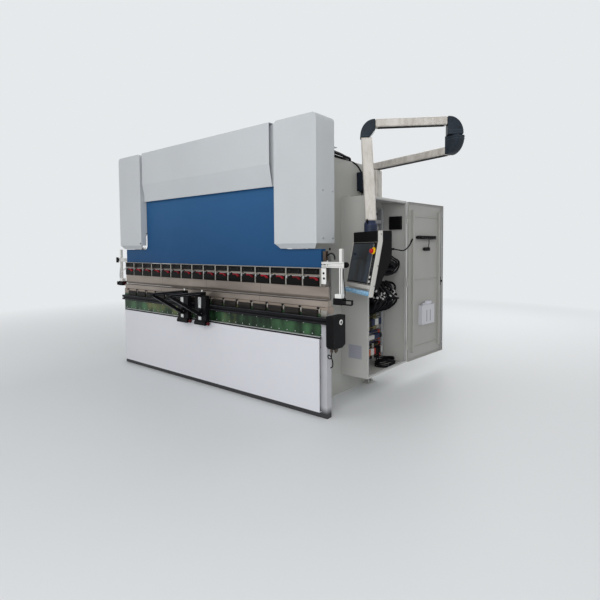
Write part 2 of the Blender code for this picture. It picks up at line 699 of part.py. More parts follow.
def back_gauge(colour, steel, machine):
    """Rear tie, two gauge rails and the gauge beam with its two stop fingers."""
    half = FRAME_INNER_X - SEAT
    tie_back = REAR_TIE_FRONT_Y + REAR_TIE_DEPTH
    tie = block(-half, half, REAR_TIE_FRONT_Y, tie_back, REAR_TIE_BOTTOM_Z, GAUGE_RAIL_BOTTOM_Z - SEAT)
    solid("rear_tie", tie, colour, machine)
    rail_top = GAUGE_RAIL_BOTTOM_Z + GAUGE_RAIL_HEIGHT
    for side, label in ((-1, "left"), (1, "right")):
        x = side * GAUGE_RAIL_X
        w = GAUGE_RAIL_WIDTH / 2
        rail = block(x - w, x + w, BEAM_THICKNESS + SEAT, tie_back, GAUGE_RAIL_BOTTOM_Z, rail_top)
        solid("gauge_rail_" + label, rail, colour, machine)
    beam_back = GAUGE_BEAM_FRONT_Y + GAUGE_BEAM_DEPTH
    beam_top = rail_top + SEAT + GAUGE_BEAM_HEIGHT
    beam = block(-GAUGE_BEAM_HALF, GAUGE_BEAM_HALF, GAUGE_BEAM_FRONT_Y, beam_back, rail_top + SEAT, beam_top)
    soften(solid("gauge_beam", beam, colour, machine), GAUGE_ROUNDING)
    for side, label in ((-1, "left"), (1, "right")):
        x = side * FINGER_X
        w = FINGER_WIDTH / 2
        low = beam_top + SEAT
        outline = [(beam_back, low), (beam_back, low + FINGER_HEIGHT)]
        outline += [(GAUGE_BEAM_FRONT_Y - FINGER_REACH + FINGER_SLOPE, low + FINGER_HEIGHT)]
        outline += [(GAUGE_BEAM_FRONT_Y - FINGER_REACH, low + FINGER_NOSE_SHARE * FINGER_HEIGHT)]
        outline += [(GAUGE_BEAM_FRONT_Y - FINGER_REACH, low)]
        solid("gauge_finger_" + label, prism(outline, "x", x - w, x + w), steel, machine)


def ram(blue, steel, ram_frame):
    """Ram plate with stepped shoulders under the cylinders, and its two piston rods."""
    half, neck = RAM_HALF, RAM_NECK_HALF
    r = RAM_FILLET
    outline = [(-half, RAM_BOTTOM_Z), (half, RAM_BOTTOM_Z), (half, RAM_SHOULDER_Z)]
    outline += arc((neck + r, RAM_SHOULDER_Z + r), r, 270, 180, 4)
    outline += [(neck, RAM_TOP_Z), (-neck, RAM_TOP_Z)]
    outline += arc((-neck - r, RAM_SHOULDER_Z + r), r, 0, -90, 4)
    outline += [(-half, RAM_SHOULDER_Z)]
    solid("ram_plate", prism(outline, "y", RAM_FRONT_Y, RAM_BACK_Y), blue, ram_frame)
    y = RAM_FRONT_Y + RAM_THICKNESS / 2
    r = ROD_RADIUS
    for side, label in ((-1, "left"), (1, "right")):
        flange_top = RAM_SHOULDER_Z + ROD_FLANGE_HEIGHT
        neck_top = flange_top + ROD_NECK_HEIGHT
        profile = [(ROD_FLANGE_SHARE * r, RAM_SHOULDER_Z + SEAT), (ROD_FLANGE_SHARE * r, flange_top),
                   (ROD_NECK_SHARE * r, flange_top), (ROD_NECK_SHARE * r, neck_top), (r, neck_top),
                   (r, ROD_TOP_Z)]
        rod = turned(profile, (side * CYLINDER_X, y, 0))
        solid("piston_rod_" + label, rod, steel, ram_frame, smooth=True)


def clamps(black, ram_frame):
    """Row of quick clamps on one back bar: an upper pad, a lower jaw and a lever on each."""
    count = round(WORK_LENGTH / CLAMP_PITCH)
    half = WORK_LENGTH / 2 + CLAMP_BAR_OVERHANG
    low, high = CLAMP_BOTTOM_Z, RAM_BOTTOM_Z - SEAT
    front = CLAMP_BLOCK_DEPTH
    row = solid("upper_clamps", block(-half, half, front, CLAMP_BAR_BACK, low, high), black, ram_frame)
    for i in range(count):
        x0 = -WORK_LENGTH / 2 + i * CLAMP_PITCH + CLAMP_GAP / 2
        x1 = x0 + CLAMP_PITCH - CLAMP_GAP
        jaw_top = low + CLAMP_JAW_SHARE * CLAMP_HEIGHT
        pad_low = low + CLAMP_PAD_SHARE * CLAMP_HEIGHT
        inner = front + CLAMP_FUSE
        ledge = low + CLAMP_JAW_LEDGE
        jaw = [(inner, ledge), (inner, jaw_top), (CLAMP_JAW_CHAMFER, jaw_top),
               (0.0, jaw_top - CLAMP_JAW_CHAMFER), (0.0, low + CLAMP_JAW_CHAMFER), (CLAMP_JAW_UNDERCUT, ledge)]
        pad = [(inner, pad_low), (inner, high - CLAMP_PAD_CLEAR), (CLAMP_PAD_FRONT, high - CLAMP_PAD_CLEAR),
               (CLAMP_PAD_FRONT, pad_low)]
        root = jaw_top + CLAMP_FUSE
        lever_top = root + LEVER_THICKNESS
        bend = lever_top - LEVER_FALL
        lever = [(inner, root), (inner, lever_top), (-LEVER_ELBOW, lever_top), (-LEVER_REACH, bend),
                 (-LEVER_REACH, bend - CLAMP_PAD_CLEAR), (CLAMP_FUSE - LEVER_ELBOW, root)]
        pieces = [prism(jaw, "x", x0, x1), prism(pad, "x", x0, x1),
                  prism(lever, "x", x1 - LEVER_NEAR, x1 - LEVER_FAR)]
        fuse(row, together(*pieces))
    return row


def punch(steel, ram_frame):
    """Straight punch: a shank in the clamps' line and a blade that tapers to its tip."""
    w = PUNCH_THICKNESS / 2
    top = CLAMP_BOTTOM_Z - SEAT
    tip = PUNCH_TIP_Z
    y = TOOL_LINE_Y
    outline = [(y - w, top), (y + w, top), (y + w, tip + 2 * PUNCH_TAPER),
               (y + PUNCH_TIP_HALF, tip + PUNCH_TIP_LAND),
               (y - PUNCH_TIP_HALF, tip + PUNCH_TIP_LAND), (y - w, tip + PUNCH_TAPER)]
    solid("punch", prism(outline, "x", -BEAM_HALF, BEAM_HALF), steel, ram_frame)


def light_guard(side, silver, black, ram_frame):
    """Beam bracket on one end of the ram: slotted bar, post, foot and the emitter under it."""
    label = "right" if side > 0 else "left"
    start = RAM_HALF + SEAT
    size = GUARD_BAR_SIZE
    y0, z0 = GUARD_BAR_Y, RAM_BOTTOM_Z + GUARD_BAR_RISE
    slot = GUARD_SLOT_SHARE * size
    outline = [(y0, z0), (y0 + size, z0), (y0 + size, z0 + size), (y0, z0 + size),
               (y0, z0 + size / 2 + slot / 2), (y0 + slot, z0 + size / 2 + slot / 2),
               (y0 + slot, z0 + size / 2 - slot / 2), (y0, z0 + size / 2 - slot / 2)]
    low, high = sorted((side * start, side * (GUARD_POST_X + GUARD_BAR_END)))
    bracket = solid("guard_bracket_" + label, prism(outline, "x", low, high), silver, ram_frame)
    post = GUARD_POST_SIZE / 2
    x = side * GUARD_POST_X
    middle = y0 + size / 2
    upright = block(x - post, x + post, middle - post, middle + post,
                    GUARD_POST_BOTTOM_Z + POST_BITE, GUARD_POST_TOP_Z)
    fuse(bracket, upright)
    sole = GUARD_FOOT_DEPTH / 2
    low, high = sorted((side * (GUARD_POST_X - GUARD_FOOT_INWARD), side * (GUARD_POST_X + post)))
    fuse(bracket, block(low, high, middle - sole, middle + sole,
                        GUARD_POST_BOTTOM_Z, GUARD_POST_BOTTOM_Z + GUARD_FOOT_HEIGHT))
    top = GUARD_POST_BOTTOM_Z - SEAT
    near, far = middle - EMITTER_DEPTH / 2, middle + EMITTER_DEPTH / 2
    low, high = sorted((side * EMITTER_START, side * EMITTER_END))
    emitter = block(low, high, near, far, top - EMITTER_HEIGHT, top)
    emitter = soften(solid("guard_emitter_" + label, emitter, black, ram_frame), EMITTER_ROUNDING)
    grip_end = EMITTER_END + EMITTER_GRIP_REACH
    bar = EMITTER_GRIP_BAR
    low_z, high_z = top - EMITTER_HEIGHT, top - bar
    near_x, far_x = EMITTER_END - bar, grip_end - bar
    loop = ((near_x, low_z), (far_x, low_z), (grip_end, low_z + bar), (grip_end, high_z), (near_x, high_z),
            (near_x, high_z - bar), (far_x, high_z - bar), (far_x, low_z + bar), (near_x, low_z + bar))
    outline = [(side * x, z) for x, z in loop]
    fuse(emitter, prism(outline, "y", middle - bar, middle + bar))


def support_arm(index, black, frame):
    """Sheet support: a carriage on the rail, a level arm and a brace back to the carriage foot."""
    label = str(index + 1)
    back = -RAIL_DEPTH - RUNNING
    front = back - CARRIAGE_DEPTH
    half = CARRIAGE_WIDTH / 2
    toe = front - TOE_REACH
    toe_top = CARRIAGE_BOTTOM_Z + TOE_HEIGHT
    outline = [(back, CARRIAGE_BOTTOM_Z), (back, CARRIAGE_TOP_Z), (front, CARRIAGE_TOP_Z), (front, toe_top),
               (toe, toe_top - TOE_REACH), (toe, CARRIAGE_BOTTOM_Z)]
    carriage = solid("support_carriage_" + label, prism(outline, "x", -half, half), black, frame)
    key_back = RAIL_SLOT_DEPTH - RAIL_DEPTH - SEAT
    fuse(carriage, block(-half, half, back - SEAT, key_back, RAIL_SLOT_LOW_Z + SEAT, RAIL_SLOT_HIGH_Z - SEAT))
    tip = front - SUPPORT_REACH
    top = SUPPORT_TOP_Z
    w = SUPPORT_WIDTH / 2
    under = top - SUPPORT_HEIGHT
    level = [(back, top), (back, CARRIAGE_TOP_Z + SEAT), (front - SEAT, CARRIAGE_TOP_Z + SEAT),
             (front - SEAT, under), (tip, under + ARM_TIP_TAPER), (tip, top)]
    arm = solid("support_arm_" + label, prism(level, "x", -w, w), black, frame)
    foot_y, foot_z = front - SEAT, CARRIAGE_BOTTOM_Z + BRACE_FOOT_RISE
    tip_z = under + BRACE_TIP_RISE
    brace = [(tip + BRACE_TIP_INSET, tip_z + BRACE_THICKNESS), (tip + BRACE_TIP_INSET, tip_z),
             (foot_y - BRACE_FOOT_DEPTH, foot_z), (foot_y, foot_z), (foot_y, foot_z + BRACE_FOOT_HEIGHT),
             (tip + BRACE_TIP_LENGTH, tip_z + BRACE_THICKNESS)]
    fuse(arm, prism(brace, "x", -BRACE_WIDTH / 2, BRACE_WIDTH / 2))
    return carriage


def hinge_heights():
    """Heights of the split in each of the door's three hinges."""
    low = CABINET_BOTTOM_Z + HINGE_INSET
    high = CABINET_TOP_Z - HINGE_INSET
    return (low, (low + high) / 2, high)


def cabinet(grey, machine):
    """Sheet cabinet on the right frame, open to the side, with a lip round the opening."""
    x0, x1 = CABINET_INNER_X, CABINET_OUTER_X
    y0, y1 = CABINET_FRONT_Y, CABINET_BACK_Y
    z0, z1 = CABINET_BOTTOM_Z, CABINET_TOP_Z
    t, lip = CABINET_SHEET, CABINET_LIP
    shell = solid("cabinet_shell", block(x0, x1, y0, y1, z0, z1), grey, machine)
    cut(shell, block(x0 + t, x1 - t, y0 + t, y1 - t, z0 + t, z1 - t))
    cut(shell, block(x1 - 2 * t, x1 + t, y0 + lip, y1 - lip, z0 + lip, z1 - lip))
    for z in hinge_heights():
        ends = [(KNUCKLE_RADIUS, z - KNUCKLE_LENGTH), (KNUCKLE_RADIUS, z - SEAT)]
        fuse(shell, turned(ends, (HINGE_X, HINGE_Y, 0), steps=12))
        fuse(shell, block(x1 - t / 2, HINGE_X, y1 - KNUCKLE_RADIUS / 2, y1, z - KNUCKLE_LENGTH, z - SEAT))
    return shell


def cabinet_inside(grey, dark, machine):
    """Mounting plate on studs with ducts and rows of gear, and the fan in the rear wall."""
    back = CABINET_INNER_X + CABINET_SHEET
    x0 = back + PLATE_STANDOFF
    x1 = x0 + PLATE_SHEET
    y0, y1 = CABINET_FRONT_Y + PLATE_MARGIN, CABINET_BACK_Y - PLATE_MARGIN
    z0, z1 = CABINET_BOTTOM_Z + PLATE_MARGIN, CABINET_TOP_Z - PLATE_MARGIN
    plate = solid("mounting_plate", block(x0, x1, y0, y1, z0, z1), grey, machine)
    inset = STUD_INSET * STUD_SIZE
    stud = STUD_SIZE / 2
    studs = []
    for y in (y0 + inset, y1 - inset):
        for z in (z0 + inset, z1 - inset):
            studs.append(block(back + SEAT, x0 + PLATE_SHEET / 2, y - stud, y + stud, z - stud, z + stud))
    fuse(plate, together(*studs))
    for name, low, height in GEAR_ROWS:
        bottom = z0 + low * (z1 - z0)
        gear = block(x1 + SEAT, x1 + GEAR_DEPTH, y0 + GEAR_FRONT_INSET, y1 - GEAR_REAR_INSET,
                     bottom, bottom + height * (z1 - z0))
        soften(solid(name, gear, dark, machine), GEAR_ROUNDING, segments=1)
    wall = CABINET_BACK_Y - CABINET_SHEET
    middle = CABINET_OUTER_X - FAN_INSET * FAN_SIZE
    s = FAN_SIZE / 2
    z = CABINET_TOP_Z - FAN_DROP * FAN_SIZE
    fan = block(middle - s, middle + s, wall - FAN_DEPTH, wall - SEAT, z - s, z + s)
    soften(solid("cabinet_fan", fan, dark, machine), FAN_ROUNDING)


def junction_box(dark, machine):
    """Wiring box high on the right side frame, behind the hood."""
    low = CABINET_TOP_Z + JUNCTION_RISE
    start = FRAME_OUTER_X + SEAT
    box = block(start, start + JUNCTION_DEPTH, JUNCTION_FRONT_Y, JUNCTION_FRONT_Y + JUNCTION_WIDTH,
                low, low + JUNCTION_HEIGHT)
    soften(solid("junction_box", box, dark, machine), JUNCTION_ROUNDING)


def cabinet_door(grey, door_frame):
    """Door with folded edges and two stiffeners, modelled closed; its frame stands at the hinge."""
    t = DOOR_THICKNESS / 2
    s = CABINET_SHEET
    length = CABINET_WIDTH - DOOR_GAP
    z0, z1 = CABINET_BOTTOM_Z + DOOR_GAP, CABINET_TOP_Z - DOOR_GAP
    door = solid("cabinet_door", block(-t, t, -length, -DOOR_EDGE, z0, z1), grey, door_frame)
    cut(door, block(-t - s, t - s, -length + s, -DOOR_EDGE - s, z0 + s, z1 - s))
    for z in hinge_heights():
        fuse(door, turned([(KNUCKLE_RADIUS, z), (KNUCKLE_RADIUS, z + KNUCKLE_LENGTH)], (0, 0, 0), steps=12))
        fuse(door, block(-s, s, -DOOR_EDGE - s / 2, 0, z, z + KNUCKLE_LENGTH))
    ribs = []
    rib = RIB_WIDTH / 2
    for y in (RIB_FREE_SIDE - length, -RIB_HINGE_SIDE):
        ribs.append(block(-t - RIB_PROUD, t - s / 2, y - rib, y + rib, z0 + RIB_MARGIN, z1 - RIB_MARGIN))
    fuse(door, together(*ribs))
    w = POCKET_WIDTH / 2
    middle = -length / 2
    low = CABINET_BOTTOM_Z + POCKET_RISE
    high = low + POCKET_HEIGHT
    front = -t - POCKET_DEPTH + POCKET_TUCK
    back = t - s
    wall = POCKET_SHEET
    sheet = block(front, back - SEAT, middle - w, middle + w, low, high)
    pocket = solid("document_pocket", sheet, grey, door_frame)
    cut(pocket, block(front + wall, back - wall, middle - w + wall, middle + w - wall,
                      low + wall, high + wall))
    return door


def quarter_elbow(direction):
    """Elbow from a level arm end to an upright joint; direction is +1 up or -1 down.

    The local origin is on the upright axis, level with the arm's far face, and the arm
    comes in from -X.
    """
    r = ELBOW_RADIUS
    h = BEAM_SECTION_HEIGHT
    start = -ELBOW_OFFSET
    outline = [(start, 0.0)]
    outline += [(x, z) for x, z in arc((start, r), r, -90, 0, 8)][1:]
    outline += [(start + r - BEAM_SECTION_WIDTH - ELBOW_COLLAR, r),
                (start + ELBOW_THROAT, h + ELBOW_INNER_RISE), (start, h + ELBOW_THROAT)]
    return [(x, direction * z) for x, z in outline]


def pendant(cream, black, machine):
    """Post, two swinging arms with their elbows, and the tube that carries the console."""
    s = POST_SIZE / 2
    post = block(POST_X - s, POST_X + s, POST_Y - s, POST_Y + s,
                 CABINET_TOP_Z + SEAT, LOWER_ARM_BOTTOM_Z - SEAT)
    soften(solid("arm_post", post, cream, machine), POST_ROUNDING)

    lower = empty("lower_arm_axis", (POST_X, POST_Y, LOWER_ARM_BOTTOM_Z), machine, LOWER_ARM_TURN)
    w, h = BEAM_SECTION_WIDTH / 2, BEAM_SECTION_HEIGHT
    reach = LOWER_ARM_LENGTH - ELBOW_OFFSET - SEAT
    soften(solid("lower_arm", block(-s, reach, -w, w, 0, h), cream, lower), ARM_ROUNDING)
    elbow = ELBOW_WIDTH / 2
    outline = [(LOWER_ARM_LENGTH + x, z) for x, z in quarter_elbow(1)]
    solid("lower_elbow", prism(outline, "y", -elbow, elbow), black, lower)

    upper = empty("upper_arm_axis", (ELBOW_X, ELBOW_Y, UPPER_ARM_BOTTOM_Z), machine, UPPER_ARM_TURN)
    reach = UPPER_ARM_LENGTH - ELBOW_OFFSET - SEAT
    soften(solid("upper_arm", block(ELBOW_OFFSET + SEAT, reach, -w, w, 0, h), cream, upper), ARM_ROUNDING)
    outline = [(-x, h + z) for x, z in quarter_elbow(-1)]
    solid("upper_elbow", prism(outline, "y", -elbow, elbow), black, upper)
    outline = [(UPPER_ARM_LENGTH + x, h + z) for x, z in quarter_elbow(-1)]
    solid("drop_elbow", prism(outline, "y", -elbow, elbow), black, upper)
    tube_top = h - ELBOW_RADIUS - SEAT
    x = UPPER_ARM_LENGTH
    low = TUBE_BOTTOM_Z - UPPER_ARM_BOTTOM_Z
    w = TUBE_WIDTH / 2
    tube = block(x - w, x + w, -w, w, low, tube_top)
    lean = Vector((TUBE_LEAN * cos(UPPER_ARM_TURN), -TUBE_LEAN * sin(UPPER_ARM_TURN), 0))
    bmesh.ops.translate(tube, vec=lean, verts=[v for v in tube.verts if v.co.z < (low + tube_top) / 2])
    soften(solid("drop_tube", tube, cream, upper), ARM_ROUNDING)


def console(black, silver, blue, red, machine):
    """Console on its swivel: a leaning housing, a side bar each side and the grab bar below."""
    z = TUBE_BOTTOM_Z
    axis = empty("console_axis", (TUBE_FOOT_X, TUBE_Y, z), machine, CONSOLE_TURN)
    c = COUPLING_WIDTH / 2
    top = -COUPLING_HEIGHT
    profile = [(c, top + SEAT), (c, -COUPLING_NECK_HEIGHT), (COUPLING_NECK_SHARE * c, -SEAT)]
    solid("console_coupling", turned(profile, (0, 0, 0), steps=16), black, axis)

    w = CONSOLE_WIDTH / 2
    lean = CONSOLE_HEIGHT - CONSOLE_BROW
    shift = lean * sin(CONSOLE_LEAN)
    front, back = -CONSOLE_FRONT, CONSOLE_DEPTH - CONSOLE_FRONT
    bottom = top - CONSOLE_HEIGHT
    outline = [(front, top), (back, top), (back, top - CONSOLE_BACK_DROP),
               (back - CONSOLE_FOOT_THINNING - shift, bottom), (front - shift, bottom), (front, top - CONSOLE_BROW)]
    soften(solid("console_housing", prism(outline, "x", -w, w), black, axis), CONSOLE_ROUNDING)
    t = SIDE_BAR_THICKNESS
    d = SIDE_BAR_DEPTH
    low = bottom - HANDLE_DROP
    drop = (HANDLE_DROP + lean) * sin(CONSOLE_LEAN)
    face = front - SIDE_BAR_PROUD
    bar = [(face, top), (front + d, top), (front + d, top - CONSOLE_BROW), (front + d - drop, low),
           (face - drop, low), (face, top - CONSOLE_BROW)]
    for side, label in ((-1, "left"), (1, "right")):
        x0, x1 = sorted((side * (w + SEAT), side * (w + SEAT + t)))
        soften(solid("console_bar_" + label, prism(bar, "x", x0, x1), silver, axis), SIDE_BAR_ROUNDING)
    r = HANDLE_RADIUS
    y = front - drop + d / 2 - HANDLE_FORWARD
    grab = turned([(r, -w), (r, w)], (0, y, low + r + HANDLE_RISE), "x", steps=16)
    solid("grab_bar", grab, blue, axis, smooth=True)
    stop_z = top - CONSOLE_BROW - STOP_DROP
    stop_y = front - STOP_DROP * sin(CONSOLE_LEAN)
    stem = -SEAT - STOP_STEM_GAP
    profile = [(STOP_RADIUS, -STOP_REACH), (STOP_RADIUS, -STOP_HEAD_BACK), (STOP_STEM_RADIUS, -STOP_HEAD_BACK),
               (STOP_STEM_RADIUS, stem)]
    button = turned(profile, (w - STOP_INSET, stop_y, stop_z), "y", steps=16)
    solid("stop_button", button, red, axis, smooth=True)


def build():
    for obj in list(bpy.data.objects):
        bpy.data.objects.remove(obj, do_unlink=True)

    grey = paint("frame_grey", (0.48, 0.47, 0.45), 0.45)
    cover = paint("cover_grey", (0.55, 0.57, 0.60), 0.4)
    blue = paint("ram_blue", (0.02, 0.08, 0.22), 0.35)
    green = paint("beam_green", (0.05, 0.13, 0.07), 0.3)
    steel = paint("ground_steel", (0.35, 0.33, 0.31), 0.35, 0.9)
    black = paint("black_oxide", (0.02, 0.02, 0.022), 0.45)
    cream = paint("arm_cream", (0.62, 0.58, 0.53), 0.5)
    silver = paint("anodised_aluminium", (0.6, 0.6, 0.6), 0.35, 0.6)
    sky = paint("grab_blue", (0.14, 0.42, 0.70), 0.4)
    red = paint("stop_red", (0.6, 0.02, 0.02), 0.4)

    machine = empty("machine", (MACHINE_X, MACHINE_Y, 0))
    for side in (-1, 1):
        side_frame(side, grey, machine)
        hood(side, cover, machine)
        cylinder(side, steel, machine)
    lower_beam(green, machine)
    apron_cover(cover, machine)
    front_rail(black, machine)
    drive_box(black, machine)
    table(steel, machine)
    fascia(cover, machine)
    upper_frame(grey, black, machine)
    back_gauge(grey, steel, machine)

    ram_frame = empty("ram_slide", (0, 0, 0), machine)
    ram(blue, steel, ram_frame)
    clamps(black, ram_frame)
    punch(steel, ram_frame)
    for side in (-1, 1):
        light_guard(side, silver, black, ram_frame)

    for index, x in enumerate(ARM_X):
        support_arm(index, black, empty("support_slide_" + str(index + 1), (x, 0, 0), machine))

    cabinet(grey, machine)
    cabinet_inside(grey, black, machine)
    junction_box(black, machine)
    cabinet_door(grey, empty("door_hinge", (HINGE_X, HINGE_Y, 0), machine, DOOR_OPEN))
    pendant(cream, black, machine)
    console(black, silver, sky, red, machine)


build()
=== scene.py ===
"""Looks of the hydraulic press brake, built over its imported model.

Metres, +Z up; the operator stands at -Y. Each section makes one piece or group of like
pieces, in the order in which the machine is put together.
"""
import bmesh
import bpy
from math import atan2, cos, pi, radians, sin
from mathutils import Matrix, Vector


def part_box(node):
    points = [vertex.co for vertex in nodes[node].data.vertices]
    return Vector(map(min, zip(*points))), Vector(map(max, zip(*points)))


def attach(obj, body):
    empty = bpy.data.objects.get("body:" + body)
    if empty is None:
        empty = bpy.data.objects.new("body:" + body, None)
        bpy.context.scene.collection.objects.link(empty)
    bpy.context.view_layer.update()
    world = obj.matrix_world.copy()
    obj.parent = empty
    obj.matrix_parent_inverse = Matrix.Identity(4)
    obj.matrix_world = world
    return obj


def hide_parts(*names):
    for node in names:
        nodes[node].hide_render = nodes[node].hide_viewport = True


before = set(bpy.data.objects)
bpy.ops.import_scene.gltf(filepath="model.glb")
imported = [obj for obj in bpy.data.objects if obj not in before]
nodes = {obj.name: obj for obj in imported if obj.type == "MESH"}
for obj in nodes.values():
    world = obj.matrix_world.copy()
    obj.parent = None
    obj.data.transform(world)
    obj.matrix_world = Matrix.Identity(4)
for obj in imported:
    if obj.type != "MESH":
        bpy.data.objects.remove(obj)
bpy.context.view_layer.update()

scene = bpy.context.scene

# Camera. It stands at the operator's right, a little over three metres out, with the lens
# of a phone held level at head height. Its place is measured from the table: X from the
# middle of the beam, Y from the beam's front.
beam_low, beam_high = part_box("lower_beam")
middle_x = (beam_low.x + beam_high.x) / 2
front_y = beam_low.y
CAMERA_RIGHT = 3.9372
CAMERA_OUT = 3.1838
CAMERA_HEIGHT = 1.5229
CAMERA_YAW = radians(39.19)
CAMERA_PITCH = radians(-2.76)
CAMERA_ROLL = radians(-0.41)

camera_data = bpy.data.cameras.new("camera")
camera_data.sensor_width = 36.0
camera_data.lens = 26.98
camera_data.shift_x = 0.0028
camera_data.shift_y = -0.0521
camera_data.clip_end = 200.0
camera = bpy.data.objects.new("camera", camera_data)
camera_turn = Matrix.Rotation(CAMERA_YAW, 4, "Z") @ Matrix.Rotation(radians(90) + CAMERA_PITCH, 4, "X")
camera_place = Matrix.Translation((middle_x + CAMERA_RIGHT, front_y - CAMERA_OUT, CAMERA_HEIGHT))
camera.matrix_world = camera_place @ camera_turn @ Matrix.Rotation(CAMERA_ROLL, 4, "Z")
scene.collection.objects.link(camera)
scene.camera = camera
scene.view_settings.view_transform = "Standard"


class Field:
    """A value that varies over a surface: a socket of a material, on which sums add Math nodes."""

    def __init__(self, socket):
        self.socket = socket

    def node(self, kind, settings, values, output=0):
        """Adds a node of any kind: its settings first, then the values or links of its sockets."""
        tree = self.socket.id_data
        made = tree.nodes.new(kind)
        for name, value in settings.items():
            setattr(made, name, value)
        for name, value in values.items():
            if isinstance(value, Field):
                tree.links.new(value.socket, made.inputs[name])
            else:
                made.inputs[name].default_value = value
        return Field(made.outputs[output])

    def math(self, operation, first, second):
        return self.node("ShaderNodeMath", {"operation": operation}, {0: first, 1: second})

    def __add__(self, other):
        return self.math("ADD", self, other)

    __radd__ = __add__

    def __sub__(self, other):
        return self.math("SUBTRACT", self, other)

    def __rsub__(self, other):
        return self.math("SUBTRACT", other, self)

    def __mul__(self, other):
        return self.math("MULTIPLY", self, other)

    __rmul__ = __mul__

    def __gt__(self, other):
        return self.math("GREATER_THAN", self, other)

    def __lt__(self, other):
        return self.math("LESS_THAN", self, other)

    def share(self, low, high):
        """0 where the value is low, 1 where it is high, clamped."""
        return self.node("ShaderNodeMapRange", {}, {"Value": self, "From Min": low, "From Max": high})

    def stretched(self, x, y, z):
        """A place scaled along each axis, so that a pattern on it is drawn out."""
        return self.node("ShaderNodeMapping", {}, {"Vector": self, "Scale": (x, y, z)})

    def noise(self, scale, detail=3.0):
        """Soft noise on a place, about 0.3 to 0.7, with blotches of 1 / scale."""
        return self.node("ShaderNodeTexNoise", {}, {"Vector": self, "Scale": scale, "Detail": detail})

    def along(self, axis):
        """One coordinate of a place."""
        return self.node("ShaderNodeSeparateXYZ", {}, {"Vector": self}, "XYZ".index(axis))

    def blend(self, colour, other):
        """Colour that goes from one to the other as the value goes from 0 to 1."""
        return self.node("ShaderNodeMix", {"data_type": "RGBA"}, {0: self, 6: colour, 7: other}, 2)

    def into(self, shader, name):
        """Links the value to a socket of the shader."""
        self.socket.id_data.links.new(self.socket, shader.inputs[name])

    def dent(self, shader, depth, strength=1.0):
        """Uses the value as the height of a bump, so many metres deep."""
        values = {"Height": self, "Distance": depth, "Strength": strength}
        self.node("ShaderNodeBump", {}, values).into(shader, "Normal")


def tint(code, shade=1.0):
    """Colour from its hex code, made darker or lighter by a factor."""
    parts = [int(code[i:i + 2], 16) / 255 for i in (0, 2, 4)]
    straight = [part / 12.92 if part < 0.04045 else ((part + 0.055) / 1.055) ** 2.4 for part in parts]
    return (*[min(1.0, part * shade) for part in straight], 1.0)


# Floor, backdrop and light. A pale studio floor runs out into a pale world. Broad lamps on
# both sides of the operator, at the right, overhead and behind light the machine softly.
FLOOR_HALF = 60.0
FLOOR_CODE = "d9dcde"
BACKDROP_CODE = "e6e9eb"
WORLD_LIGHT = 0.46
bpy.ops.object.select_all(action="DESELECT")
bpy.ops.mesh.primitive_plane_add(size=2 * FLOOR_HALF)
floor = bpy.context.object
floor.name = "floor"


def background_rays(tree):
    """1 for the rays that show the background: seen, mirrored or refracted."""
    rays = tree.nodes.new("ShaderNodeLightPath").outputs
    return Field(rays["Is Camera Ray"]) + Field(rays["Is Glossy Ray"]) + Field(rays["Is Transmission Ray"])


# Beyond the lamps' reach the floor takes the backdrop's colour, so there is no dark horizon.
floor_paint = bpy.data.materials.new("studio_floor")
floor_paint.use_nodes = True
floor_tree = floor_paint.node_tree
floor_shader = floor_tree.nodes["Principled BSDF"]
floor_shader.inputs["Base Color"].default_value = tint(FLOOR_CODE)
floor_shader.inputs["Roughness"].default_value = 0.6
floor_place = Field(floor_tree.nodes.new("ShaderNodeTexCoord").outputs["Object"])
distance = floor_place.node("ShaderNodeVectorMath", {"operation": "LENGTH"}, {0: floor_place}, 1)
far = distance.share(3.0, 9.0) * background_rays(floor_tree)
glow = far.node("ShaderNodeEmission", {}, {"Color": tint(BACKDROP_CODE)})
seen_floor = far.node("ShaderNodeMixShader", {}, {0: far, 1: Field(floor_shader.outputs["BSDF"]), 2: glow})
seen_floor.into(floor_tree.nodes["Material Output"], "Surface")
floor.data.materials.append(floor_paint)

world = bpy.data.worlds.new("studio")
scene.world = world
world.use_nodes = True
sky_shader = world.node_tree.nodes["Background"]
ambient = (WORLD_LIGHT, WORLD_LIGHT, WORLD_LIGHT, 1)
background_rays(world.node_tree).blend(ambient, tint(BACKDROP_CODE)).into(sky_shader, "Color")


def lamp(name, place, aim, size, power):
    """Square softbox that points at a place."""
    data = bpy.data.lights.new(name, "AREA")
    data.shape = "SQUARE"
    data.size = size
    data.energy = power
    made = bpy.data.objects.new(name, data)
    made.location = place
    made.rotation_euler = (Vector(aim) - Vector(place)).to_track_quat("-Z", "Y").to_euler()
    scene.collection.objects.link(made)


machine_middle = (middle_x, front_y + 0.5, 1.2)
lamp("left_lamp", (middle_x - 3.5, front_y - 6.5, 4.0), machine_middle, 5.0, 85)
lamp("right_lamp", (middle_x + 4.6, front_y - 6.6, 3.5), machine_middle, 5.0, 290)
lamp("side_lamp", (middle_x + 8.0, front_y - 0.5, 3.0), machine_middle, 5.0, 45)
lamp("top_lamp", (middle_x, front_y, 7.0), machine_middle, 6.0, 60)
lamp("rear_lamp", (middle_x + 1.0, front_y + 8.0, 4.0), machine_middle, 5.0, 180)


